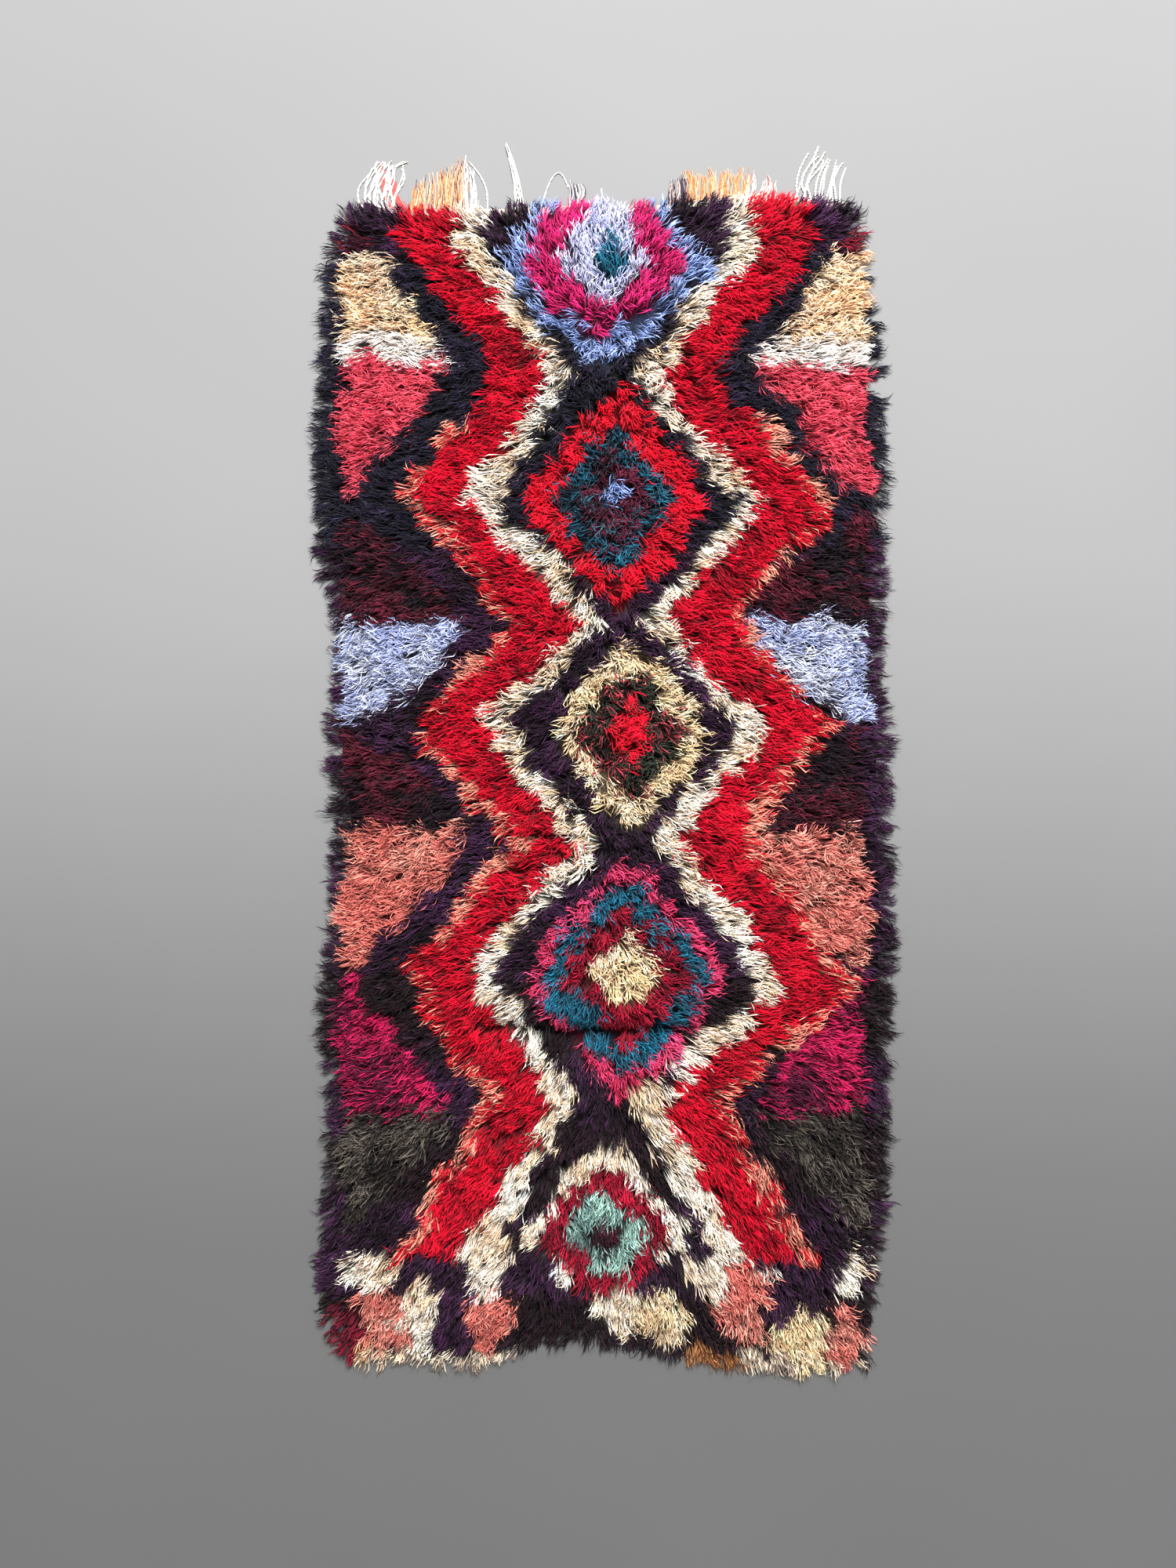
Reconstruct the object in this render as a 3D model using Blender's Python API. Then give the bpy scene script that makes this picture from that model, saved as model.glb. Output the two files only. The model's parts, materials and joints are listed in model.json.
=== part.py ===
"""Boucherouite rug: a knotted shag rug lying flat, with the warp fringe that shows at one end.

Metres, +Z up. The rug rests on z = 0 and its fringed end points to +Y. The outline tables are
measured from the middle of the pile, and the whole object is centred at the end.
"""

import math
import random

import bmesh
import bpy
from mathutils import Vector, noise

# The lying pile
PILE_HEIGHT = 0.030
RIM_HEIGHT = 0.0145
SHOULDER = 0.075
LOCK_ROOT_HEIGHT = 0.0045
CELLS_ACROSS = 32
CELLS_ALONG = 64
SEED = 11

# Tufts and slow waves of the pile's surface: size over the rug, height, level of the noise
TUFT_SIZE = 0.056
TUFT_HEIGHT = 0.0100
TUFT_LEVEL = 1.7
WAVE_SIZE = 0.33
WAVE_HEIGHT = 0.0035
WAVE_LEVEL = 5.3
RIM_TUFT_SHARE = 0.25
FOLD_FADE = 1.25
TROUGH_DISTANCE = 2.0
CELL_JITTER = 0.22
RIM_JITTER = 0.20
RIM_TURN = 2.4

# How far the rim's locks stand out past the slab, by side
REACH_SIDE = 0.036
REACH_BOTTOM = 0.032
REACH_TOP = 0.021
REACH_SHORTER = 0.30
REACH_LONGER = 0.18
LOCK_LEAN = 0.0075
CORNER_LEAN = 0.016
CORNER_ZONE = 0.05
CORNER_START = 1.2
LOCK_SHOULDER = 0.48
LOCK_NARROWING = 0.70
LOCK_DROOP = 0.0022
LOCK_UNDERSIDE_DROOP = 0.0011
TIP_HEIGHT = 0.0035
TIP_HEIGHT_OVER_FRINGE = 0.0068
TIP_UNEVENNESS = 0.15
LEVEL_TOLERANCE = 0.001

# The heading strip and its warps
PIECE_GAP = 0.0003
STRIP_WIDTH = 0.015
STRIP_THICKNESS = 0.003
STRIP_END_MARGIN = 0.002
ROOT_LENGTH = 0.007
SECTION_SPACING = 0.0015
FRONT_FACING = 0.8
STRAND_WANDER = 0.0006
STRAND_STEP = 0.001
STRAND_BODY = 0.93
STRAND_TIP_HEIGHT = 0.0008
STRAND_TAPER = 0.35
STRAND_HEIGHT = 0.96
STRAND_HEIGHT_LOSS = 0.2

# Reach of the pile's tips to each side: along, left, right
SIDE_OUTLINE = (
    (1.072, -0.488, 0.482),
    (0.973, -0.518, 0.492),
    (0.770, -0.535, 0.518),
    (0.581, -0.542, 0.530),
    (0.436, -0.541, 0.525),
    (0.349, -0.512, 0.525),
    (0.219, -0.506, 0.518),
    (0.059, -0.519, 0.538),
    (-0.071, -0.503, 0.535),
    (-0.260, -0.515, 0.544),
    (-0.434, -0.534, 0.538),
    (-0.579, -0.519, 0.535),
    (-0.753, -0.532, 0.530),
    (-0.898, -0.542, 0.516),
    (-1.079, -0.499, 0.500),
)

# Reach of the pile's tips to each end: across, bottom, top
END_OUTLINE = (
    (-0.499, -1.083, 1.070),
    (-0.436, -1.074, 1.078),
    (-0.349, -1.074, 1.068),
    (-0.276, -1.086, 1.070),
    (-0.190, -1.069, 1.070),
    (-0.103, -1.040, 1.074),
    (-0.016, -1.037, 1.078),
    (0.042, -1.045, 1.074),
    (0.115, -1.060, 1.078),
    (0.187, -1.074, 1.089),
    (0.260, -1.083, 1.094),
    (0.332, -1.095, 1.090),
    (0.405, -1.096, 1.088),
    (0.470, -1.086, 1.080),
    (0.500, -1.079, 1.070),
)

# Cross folds of the lying rug: left end, right end, along, sag of its middle, height above the
# pile, depth of the trough below it, spread up the rug, spread down the rug
FOLDS = (
    (-0.290, 0.285, -0.402, 0.012, 0.017, 0.009, 0.060, 0.024),
    (-0.560, -0.300, -0.385, 0.006, 0.005, 0.003, 0.050, 0.030),
    (0.300, 0.560, -0.352, 0.010, 0.006, 0.004, 0.050, 0.030),
    (-0.330, 0.060, -0.990, 0.010, 0.006, 0.004, 0.055, 0.040),
)

# Warps and tufts of the fringe: first root, last root, strands, reach at the first, reach at the
# last, unevenness, lean at the first, lean at the last, bow, drop, width, stages
FRINGE = (
    (-0.4550, -0.3880, 13, 0.098, 0.106, 0.008, 0.030, 0.016, -0.0070, 0.024, 0.0030, 6),
    (-0.3870, -0.3600, 5, 0.070, 0.056, 0.006, 0.012, 0.006, -0.0020, 0.0, 0.0030, 4),
    (-0.3590, -0.2620, 20, 0.050, 0.098, 0.007, 0.004, -0.001, 0.0015, 0.0, 0.0034, 4),
    (-0.2560, -0.2330, 4, 0.100, 0.066, 0.005, -0.004, -0.004, 0.0020, 0.0, 0.0034, 4),
    (-0.2190, -0.2130, 1, 0.103, 0.103, 0.0, -0.034, -0.034, 0.0120, 0.012, 0.0032, 7),
    (-0.1640, -0.1480, 1, 0.125, 0.125, 0.0, -0.026, -0.026, 0.0040, 0.0, 0.0140, 7),
    (-0.1200, -0.1140, 1, 0.219, 0.219, 0.0, 0.050, 0.050, 0.0020, 0.179, 0.0032, 8),
    (-0.0560, -0.0380, 3, 0.052, 0.044, 0.005, -0.002, 0.003, 0.0010, 0.0, 0.0034, 4),
    (0.0110, 0.0170, 1, 0.034, 0.034, 0.0, -0.022, -0.022, -0.0030, 0.0, 0.0026, 4),
    (0.1220, 0.1520, 6, 0.046, 0.058, 0.004, -0.003, -0.001, 0.0010, 0.0, 0.0036, 3),
    (0.1540, 0.2650, 21, 0.060, 0.052, 0.009, -0.001, 0.005, 0.0010, 0.0, 0.0034, 3),
    (0.2680, 0.3160, 8, 0.048, 0.032, 0.006, 0.003, 0.006, 0.0020, 0.0, 0.0028, 4),
    (0.3480, 0.4380, 14, 0.092, 0.060, 0.011, 0.030, 0.030, -0.0060, 0.0, 0.0034, 5),
)

RUG_COLOUR = (0.165, 0.030, 0.045, 1.0)
FRINGE_COLOUR = (0.640, 0.520, 0.400, 1.0)
WOOL_ROUGHNESS = 0.95


def clear_scene():
    """Remove the objects of the scene."""
    for item in list(bpy.data.objects):
        bpy.data.objects.remove(item, do_unlink=True)


def smooth(value):
    """Ease a value from 0 to 1."""
    value = min(max(value, 0.0), 1.0)
    return value * value * (3.0 - 2.0 * value)


def read_outline(rows, column, at):
    """Read one column of an outline table between its rows, without corners."""
    rows = sorted(rows)
    if at <= rows[0][0]:
        return rows[0][column]
    for before, after in zip(rows, rows[1:]):
        if at <= after[0]:
            share = (at - before[0]) / (after[0] - before[0])
            return before[column] + (after[column] - before[column]) * smooth(share)
    return rows[-1][column]


def rim_share(cell, cells):
    """Give the share of a side where a cell of the rim starts, unevenly spaced."""
    if cell in (0, cells):
        return cell / cells
    return (cell + RIM_JITTER * math.sin(RIM_TURN * cell)) / cells


def rug_point(u, v):
    """Place a point of the slab, with u across and v along, inside its rim of locks."""
    across = SIDE_OUTLINE[0][1] + (SIDE_OUTLINE[0][2] - SIDE_OUTLINE[0][1]) * u
    bottom = read_outline(END_OUTLINE, 1, across) + REACH_BOTTOM
    top = read_outline(END_OUTLINE, 2, across) - REACH_TOP
    along = bottom + (top - bottom) * v
    left = read_outline(SIDE_OUTLINE, 1, along) + REACH_SIDE
    right = read_outline(SIDE_OUTLINE, 2, along) - REACH_SIDE
    return Vector((left + (right - left) * u, along, 0.0))


def fold_height(x, y):
    """Add up the ridges and troughs of the cross folds."""
    total = 0.0
    for left, right, along, sag, height, depth, up, down in FOLDS:
        middle = (left + right) / 2.0
        half = (right - left) / 2.0
        share = (x - middle) / half
        fade = smooth(FOLD_FADE * (1.0 - abs(share)))
        offset = y - (along - sag * (1.0 - share * share))
        if offset >= 0.0:
            total += fade * height * math.exp(-((offset / up) ** 2))
        else:
            ridge = height * math.exp(-((offset / down) ** 2))
            below = offset + TROUGH_DISTANCE * down
            trough = depth * math.exp(-((below / down) ** 2))
            total += fade * (ridge - trough)
    return total


def pile_height(point, edge_distance):
    """Height of the pile's surface, lower towards the rim."""
    tuft_spot = Vector((point.x / TUFT_SIZE, point.y / TUFT_SIZE, TUFT_LEVEL))
    wave_spot = Vector((point.x / WAVE_SIZE, point.y / WAVE_SIZE, WAVE_LEVEL))
    tufts = noise.noise(tuft_spot) * TUFT_HEIGHT
    waves = noise.noise(wave_spot) * WAVE_HEIGHT
    inside = smooth(edge_distance / SHOULDER)
    full = PILE_HEIGHT + tufts + waves + fold_height(point.x, point.y)
    return RIM_HEIGHT + tufts * RIM_TUFT_SHARE + (full - RIM_HEIGHT) * inside


def make_material(name, colour):
    """Make a rough cloth material."""
    material = bpy.data.materials.new(name)
    material.use_nodes = True
    shader = material.node_tree.nodes["Principled BSDF"]
    shader.inputs["Base Color"].default_value = colour
    shader.inputs["Roughness"].default_value = WOOL_ROUGHNESS
    shader.inputs["Metallic"].default_value = 0.0
    return material


def make_object(name, mesh_data, material, holder):
    """Turn a bmesh into an object under the holder."""
    bmesh.ops.recalc_face_normals(mesh_data, faces=mesh_data.faces)
    mesh = bpy.data.meshes.new(name)
    mesh_data.to_mesh(mesh)
    mesh_data.free()
    mesh.materials.append(material)
    item = bpy.data.objects.new(name, mesh)
    item.parent = holder
    bpy.context.scene.collection.objects.link(item)
    return item


def shape_section(face, old_across, old_centre, centre, across, width, low, high):
    """Move a four-sided section to its new place, keeping its left, right, top and bottom."""
    for vertex in face.verts:
        side = 1.0 if (vertex.co - old_centre).dot(old_across) > 0.0 else -1.0
        upper = vertex.co.z > old_centre.z
        spot = centre + across * (side * width / 2.0)
        vertex.co = Vector((spot.x, spot.y, high if upper else low))


def build_slab():
    """Make the slab: a lumpy top, a wall where the locks root, and a flat underside."""
    shape = bmesh.new()
    grid = bmesh.ops.create_grid(
        shape, x_segments=CELLS_ACROSS, y_segments=CELLS_ALONG, size=0.5
    )
    maker = random.Random(SEED)
    length = SIDE_OUTLINE[0][0] - SIDE_OUTLINE[-1][0]
    width = SIDE_OUTLINE[0][2] - SIDE_OUTLINE[0][1]
    for vertex in grid["verts"]:
        column = round((vertex.co.x + 0.5) * CELLS_ACROSS)
        row = round((vertex.co.y + 0.5) * CELLS_ALONG)
        u = rim_share(column, CELLS_ACROSS)
        v = rim_share(row, CELLS_ALONG)
        inner = 0 < column < CELLS_ACROSS and 0 < row < CELLS_ALONG
        if inner:
            u = (column + maker.uniform(-CELL_JITTER, CELL_JITTER)) / CELLS_ACROSS
            v = (row + maker.uniform(-CELL_JITTER, CELL_JITTER)) / CELLS_ALONG
        edge_distance = min(u * width, (1.0 - u) * width, v * length, (1.0 - v) * length)
        point = rug_point(u, v)
        point.z = pile_height(point, edge_distance if inner else 0.0)
        vertex.co = point
    lock_faces = extrude_down(shape, LOCK_ROOT_HEIGHT)
    extrude_down(shape, 0.0)
    close_underside(shape, rows_of_grid(grid["verts"]))
    return shape, lock_faces


def rows_of_grid(vertices):
    """Sort the slab's top into rows from the bottom end to the top end."""
    columns = CELLS_ACROSS + 1
    return [vertices[start: start + columns] for start in range(0, len(vertices), columns)]


def rim_direction(face):
    """Give the direction of a face of the wall from the middle of the rug."""
    centre = face.calc_center_median()
    return math.atan2(centre.y, centre.x)


def extrude_down(shape, height):
    """Carry the open edge straight down to a height and return the new wall's faces.

    The faces come out in no fixed order, so they are sorted round the rim. Each lock then gets
    the same random draws in every run.
    """
    open_edges = [edge for edge in shape.edges if edge.is_boundary]
    wall = bmesh.ops.extrude_edge_only(shape, edges=open_edges)["geom"]
    for item in wall:
        if isinstance(item, bmesh.types.BMVert):
            item.co.z = height
    faces = [item for item in wall if isinstance(item, bmesh.types.BMFace)]
    return sorted(faces, key=rim_direction)


def close_underside(shape, rows):
    """Close the underside with one flat strip for each row of the slab."""
    foot = {
        (vertex.co.x, vertex.co.y): vertex for vertex in shape.verts if vertex.is_boundary
    }

    def under(vertex):
        return foot[(vertex.co.x, vertex.co.y)]

    bottom_edge = [under(vertex) for vertex in rows[0]]
    top_edge = [under(vertex) for vertex in rows[-1]]
    shape.faces.new(bottom_edge + [under(rows[1][-1]), under(rows[1][0])])
    for row, following in zip(rows[1:-2], rows[2:-1]):
        corners = (row[0], row[-1], following[-1], following[0])
        shape.faces.new([under(corner) for corner in corners])
    shape.faces.new([under(rows[-2][0]), under(rows[-2][-1])] + top_edge[::-1])


def lock_reach(side):
    """Reach of the locks on one side of the rug."""
    if side == "top":
        return REACH_TOP
    if side == "bottom":
        return REACH_BOTTOM
    return REACH_SIDE


def wall_side(outward):
    """Name the side of the rug that a wall face looks to."""
    if abs(outward.x) > abs(outward.y):
        return "side"
    return "top" if outward.y > 0.0 else "bottom"


def grow_locks(shape, lock_faces):
    """Pull each face of the upper wall out into a drooping pointed lock."""
    maker = random.Random(SEED + 1)
    roots = []
    for face in lock_faces:
        corners = [vertex.co.copy() for vertex in face.verts]
        centre = sum(corners, Vector()) / len(corners)
        high = max(corners, key=lambda corner: corner.z)
        upper = [corner for corner in corners if corner.z > LOCK_ROOT_HEIGHT + LEVEL_TOLERANCE]
        other = max((corner for corner in upper if corner != high), key=lambda corner: corner.z)
        across = (other - high).to_2d().to_3d()
        size = across.length
        across.normalize()
        outward = Vector((across.y, -across.x, 0.0))
        if outward.dot(centre) < 0.0:
            outward = -outward
        roots.append((centre, across, outward, size, (high.z + other.z) / 2.0))
    caps = bmesh.ops.extrude_discrete_faces(shape, faces=lock_faces)["faces"]
    tips = []
    for cap, (centre, across, outward, size, high) in zip(caps, roots):
        side = wall_side(outward)
        reach = lock_reach(side) * (1.0 + maker.uniform(-REACH_SHORTER, REACH_LONGER))
        lean = maker.uniform(-LOCK_LEAN, LOCK_LEAN) + corner_lean(centre, across, side)
        lift = TIP_HEIGHT_OVER_FRINGE if side == "top" else TIP_HEIGHT
        low = LOCK_ROOT_HEIGHT - (0.0 if side == "top" else LOCK_UNDERSIDE_DROOP)
        tip = centre + outward * reach + across * lean
        shoulder = centre + outward * (reach * LOCK_SHOULDER) + across * (lean * LOCK_SHOULDER)
        shape_section(
            cap, across, centre, shoulder, across, size * LOCK_NARROWING, low, high - LOCK_DROOP
        )
        tip.z = lift * (1.0 + maker.uniform(-TIP_UNEVENNESS, TIP_UNEVENNESS))
        tips.append(tip)
    peaks = bmesh.ops.poke(shape, faces=caps)["verts"]
    for peak, tip in zip(peaks, tips):
        peak.co = tip


def corner_lean(centre, across, side):
    """Turn the locks beside a corner towards that corner."""
    half_width = (SIDE_OUTLINE[-1][2] - SIDE_OUTLINE[-1][1]) / 2.0 - REACH_SIDE
    half_length = (SIDE_OUTLINE[0][0] - SIDE_OUTLINE[-1][0]) / 2.0 - REACH_BOTTOM
    if side == "side":
        share = (abs(centre.y) - half_length) / CORNER_ZONE + CORNER_START
        direction = math.copysign(1.0, centre.y) * across.y
    else:
        share = (abs(centre.x) - half_width) / CORNER_ZONE + CORNER_START
        direction = math.copysign(1.0, centre.x) * across.x
    return CORNER_LEAN * smooth(share) * direction


def build_rug(holder):
    """Make the rug with its pile as one lumpy solid."""
    shape, lock_faces = build_slab()
    grow_locks(shape, lock_faces)
    material = make_material("pile", RUG_COLOUR)
    return make_object("rug", shape, material, holder)


def top_rim():
    """List the points of the slab's top edge, from left to right."""
    cells = range(CELLS_ACROSS + 1)
    return [rug_point(rim_share(cell, CELLS_ACROSS), 1.0) for cell in cells]


def rim_along(rim, x):
    """Read how far along the slab's top edge lies at one place across."""
    for before, after in zip(rim, rim[1:]):
        if x <= after.x:
            share = (x - before.x) / (after.x - before.x)
            return before.y + (after.y - before.y) * share
    return rim[-1].y


def strand_roots():
    """Spread each row of the fringe table into single roots: left, right, row, share."""
    roots = []
    for row in FRINGE:
        first, last, count = row[:3]
        pitch = (last - first) / count
        for index in range(count):
            share = index / max(count - 1, 1)
            roots.append((first + pitch * index, first + pitch * (index + 1), row, share))
    return roots


def strip_breaks(rim, roots):
    """Collect the places across where the strip gets a section."""
    start = rim[0].x + STRIP_END_MARGIN
    end = rim[-1].x - STRIP_END_MARGIN
    breaks = {round(start, 5), round(end, 5)}
    for left, right, _, _ in roots:
        breaks.add(round(left, 5))
        breaks.add(round(right, 5))
    for point in rim:
        near = min(abs(point.x - place) for place in breaks)
        free = near > SECTION_SPACING and not inside_root(point.x, roots)
        if start < point.x < end and free:
            breaks.add(round(point.x, 5))
    return sorted(breaks)


def inside_root(x, roots):
    """Say whether a place across lies within a strand's root."""
    return any(left < x < right for left, right, _, _ in roots)


def strand_path(row, share, root_x, root_y, wander, reach):
    """Return the function that gives a strand's centre at a distance from its root."""
    _, _, _, reach_first, reach_last, _, lean_first, lean_last, bow, drop, _, _ = row
    full = max(reach_first, reach_last)
    lean = lean_first + (lean_last - lean_first) * share

    def place(distance):
        part = distance / full
        x = root_x + lean * part + bow * math.sin(math.pi * part)
        x += wander * math.sin(2.0 * math.pi * distance / reach)
        return Vector((x, root_y + distance - drop * part * part, 0.0))

    return place


def grow_strand(shape, face, root, maker):
    """Draw one face of the strip's front out into a strand lying on the floor."""
    left, right, row, share = root
    _, _, _, reach_first, reach_last, uneven, _, _, _, _, width, stages = row
    reach = reach_first + (reach_last - reach_first) * share + maker.uniform(-uneven, uneven)
    centre = face.calc_center_median()
    wander = maker.uniform(-STRAND_WANDER, STRAND_WANDER)
    path = strand_path(row, share, (left + right) / 2.0, centre.y, wander, reach)
    across = Vector((1.0, 0.0, 0.0))
    for stage in range(stages):
        done = stage / (stages - 1)
        distance = ROOT_LENGTH + (reach * STRAND_BODY - ROOT_LENGTH) * done
        spot = path(distance)
        ahead = path(distance + STRAND_STEP) - path(distance - STRAND_STEP)
        turned = Vector((ahead.y, -ahead.x, 0.0)).normalized()
        face = bmesh.ops.extrude_discrete_faces(shape, faces=[face])["faces"][0]
        taper = 1.0 - STRAND_TAPER * done
        high = STRIP_THICKNESS * (STRAND_HEIGHT - STRAND_HEIGHT_LOSS * done)
        old_centre = centre.copy()
        old_centre.z = STRIP_THICKNESS / 2.0 if stage == 0 else old_centre.z
        shape_section(face, across, old_centre, spot, turned, width * taper, 0.0, high)
        centre = Vector((spot.x, spot.y, high / 2.0))
        across = turned
    tip = bmesh.ops.poke(shape, faces=[face])["verts"][0]
    tip.co = path(reach)
    tip.co.z = STRAND_TIP_HEIGHT


def build_fringe(holder):
    """Make the narrow heading strip at the top end, with the warps and tufts rooted in it."""
    rim = top_rim()
    roots = strand_roots()
    breaks = strip_breaks(rim, roots)
    shape = bmesh.new()
    grid = bmesh.ops.create_grid(shape, x_segments=len(breaks) - 1, y_segments=1, size=0.5)
    for vertex in grid["verts"]:
        place = breaks[round((vertex.co.x + 0.5) * (len(breaks) - 1))]
        back = rim_along(rim, place) + PIECE_GAP
        vertex.co = Vector((place, back + (STRIP_WIDTH if vertex.co.y > 0.0 else 0.0), 0.0))
    lifted = bmesh.ops.extrude_face_region(shape, geom=list(shape.faces))["geom"]
    for item in lifted:
        if isinstance(item, bmesh.types.BMVert):
            item.co.z = STRIP_THICKNESS
    bmesh.ops.recalc_face_normals(shape, faces=shape.faces)
    fronts = [face for face in shape.faces if face.normal.y > FRONT_FACING]
    fronts.sort(key=lambda face: face.calc_center_median().x)
    maker = random.Random(SEED + 2)
    for root in roots:
        middle = (root[0] + root[1]) / 2.0
        face = min(fronts, key=lambda item: abs(item.calc_center_median().x - middle))
        fronts.remove(face)
        grow_strand(shape, face, root, maker)
    material = make_material("warp_fringe", FRINGE_COLOUR)
    return make_object("top_fringe", shape, material, holder)


def centre_on_origin(holder, items):
    """Move the holder so that the whole object is centred over the origin."""
    corners = [vertex.co for item in items for vertex in item.data.vertices]
    middle_x = (min(point.x for point in corners) + max(point.x for point in corners)) / 2.0
    middle_y = (min(point.y for point in corners) + max(point.y for point in corners)) / 2.0
    holder.location = (-middle_x, -middle_y, 0.0)


def main():
    """Build the rug and its fringe under one holder."""
    clear_scene()
    holder = bpy.data.objects.new("boucherouite_rug", None)
    bpy.context.scene.collection.objects.link(holder)
    rug = build_rug(holder)
    fringe = build_fringe(holder)
    centre_on_origin(holder, (rug, fringe))


main()
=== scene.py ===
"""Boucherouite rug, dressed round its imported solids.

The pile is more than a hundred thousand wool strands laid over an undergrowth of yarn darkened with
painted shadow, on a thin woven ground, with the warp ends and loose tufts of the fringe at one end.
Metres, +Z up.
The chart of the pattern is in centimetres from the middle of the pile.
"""
import json
import logging
import math
from dataclasses import dataclass, field
from enum import Enum

import bpy
import numpy as np
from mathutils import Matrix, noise

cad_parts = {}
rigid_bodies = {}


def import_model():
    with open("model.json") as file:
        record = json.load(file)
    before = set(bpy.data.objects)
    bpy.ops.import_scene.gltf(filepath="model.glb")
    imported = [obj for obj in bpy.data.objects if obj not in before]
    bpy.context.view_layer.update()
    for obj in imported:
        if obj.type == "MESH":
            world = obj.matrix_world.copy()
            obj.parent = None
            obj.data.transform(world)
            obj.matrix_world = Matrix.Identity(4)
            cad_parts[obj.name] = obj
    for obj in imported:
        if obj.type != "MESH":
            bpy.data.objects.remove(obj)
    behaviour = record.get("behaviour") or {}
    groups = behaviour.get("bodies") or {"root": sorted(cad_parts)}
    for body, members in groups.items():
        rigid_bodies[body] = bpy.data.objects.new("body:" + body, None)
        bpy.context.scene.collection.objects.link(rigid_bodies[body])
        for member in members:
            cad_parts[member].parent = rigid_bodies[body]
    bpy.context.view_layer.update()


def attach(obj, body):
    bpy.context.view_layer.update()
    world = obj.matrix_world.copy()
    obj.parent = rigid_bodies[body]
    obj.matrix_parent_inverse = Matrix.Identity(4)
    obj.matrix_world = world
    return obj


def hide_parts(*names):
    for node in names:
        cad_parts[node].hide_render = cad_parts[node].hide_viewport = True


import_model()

log = logging.getLogger("rug")

SEED = 23
CENTIMETRE = 0.01
BODY = "root"

# The curve of display colours: straight near black, a power above
FULL_COLOUR = 255.0
STRAIGHT_UNTIL = 0.04045
STRAIGHT_SLOPE = 12.92
CURVE_OFFSET = 0.055
CURVE_POWER = 2.4

Points = np.ndarray
Colour = tuple[float, float, float]


# Small helpers


def ease(value: Points) -> Points:
    """Ease values from 0 to 1."""
    value = np.clip(value, 0.0, 1.0)
    return value * value * (3.0 - 2.0 * value)


def linear(colour: Points) -> Points:
    """Turn display colours from 0 to 255 into scene colours from 0 to 1."""
    share = np.asarray(colour, dtype=float) / FULL_COLOUR
    curved = ((share + CURVE_OFFSET) / (1.0 + CURVE_OFFSET)) ** CURVE_POWER
    return np.where(share <= STRAIGHT_UNTIL, share / STRAIGHT_SLOPE, curved)


def lumps(x: Points, y: Points, size: float, layer: float) -> Points:
    """Read smooth noise over the rug.

    Args:
        x: places across, in metres.
        y: places along, in metres.
        size: the size of one lump, in metres.
        layer: which of the endless layers of noise is read.

    Returns:
        One value for each place, from about -1 to 1.
    """
    return np.array([noise.noise((a / size, b / size, layer)) for a, b in zip(x, y)])


def add_piece(name: str, mesh: bpy.types.Mesh, node: str) -> bpy.types.Object:
    """Add a finished mesh to the scene as a piece of the rug.

    Args:
        name: the piece's name.
        mesh: its mesh, with its place in its points.
        node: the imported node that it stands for.

    Returns:
        The piece, riding on the rug's one body.
    """
    piece = bpy.data.objects.new(name, mesh)
    bpy.context.scene.collection.objects.link(piece)
    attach(piece, BODY)
    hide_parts(node)
    log.info("%s: %d faces", name, len(mesh.polygons))
    return piece


def paint_points(mesh: bpy.types.Mesh, name: str, colours: Points, domain: str = "POINT") -> None:
    """Store one colour for each point or face of a mesh.

    Args:
        mesh: the mesh.
        name: the attribute's name.
        colours: scene colours, three numbers a row.
        domain: POINT or FACE.
    """
    layer = mesh.attributes.new(name, "FLOAT_COLOR", domain)
    whole = np.ones((len(colours), 4))
    whole[:, :3] = colours
    layer.data.foreach_set("color", whole.ravel())


# The rug's form, with the same numbers as its solid


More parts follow.
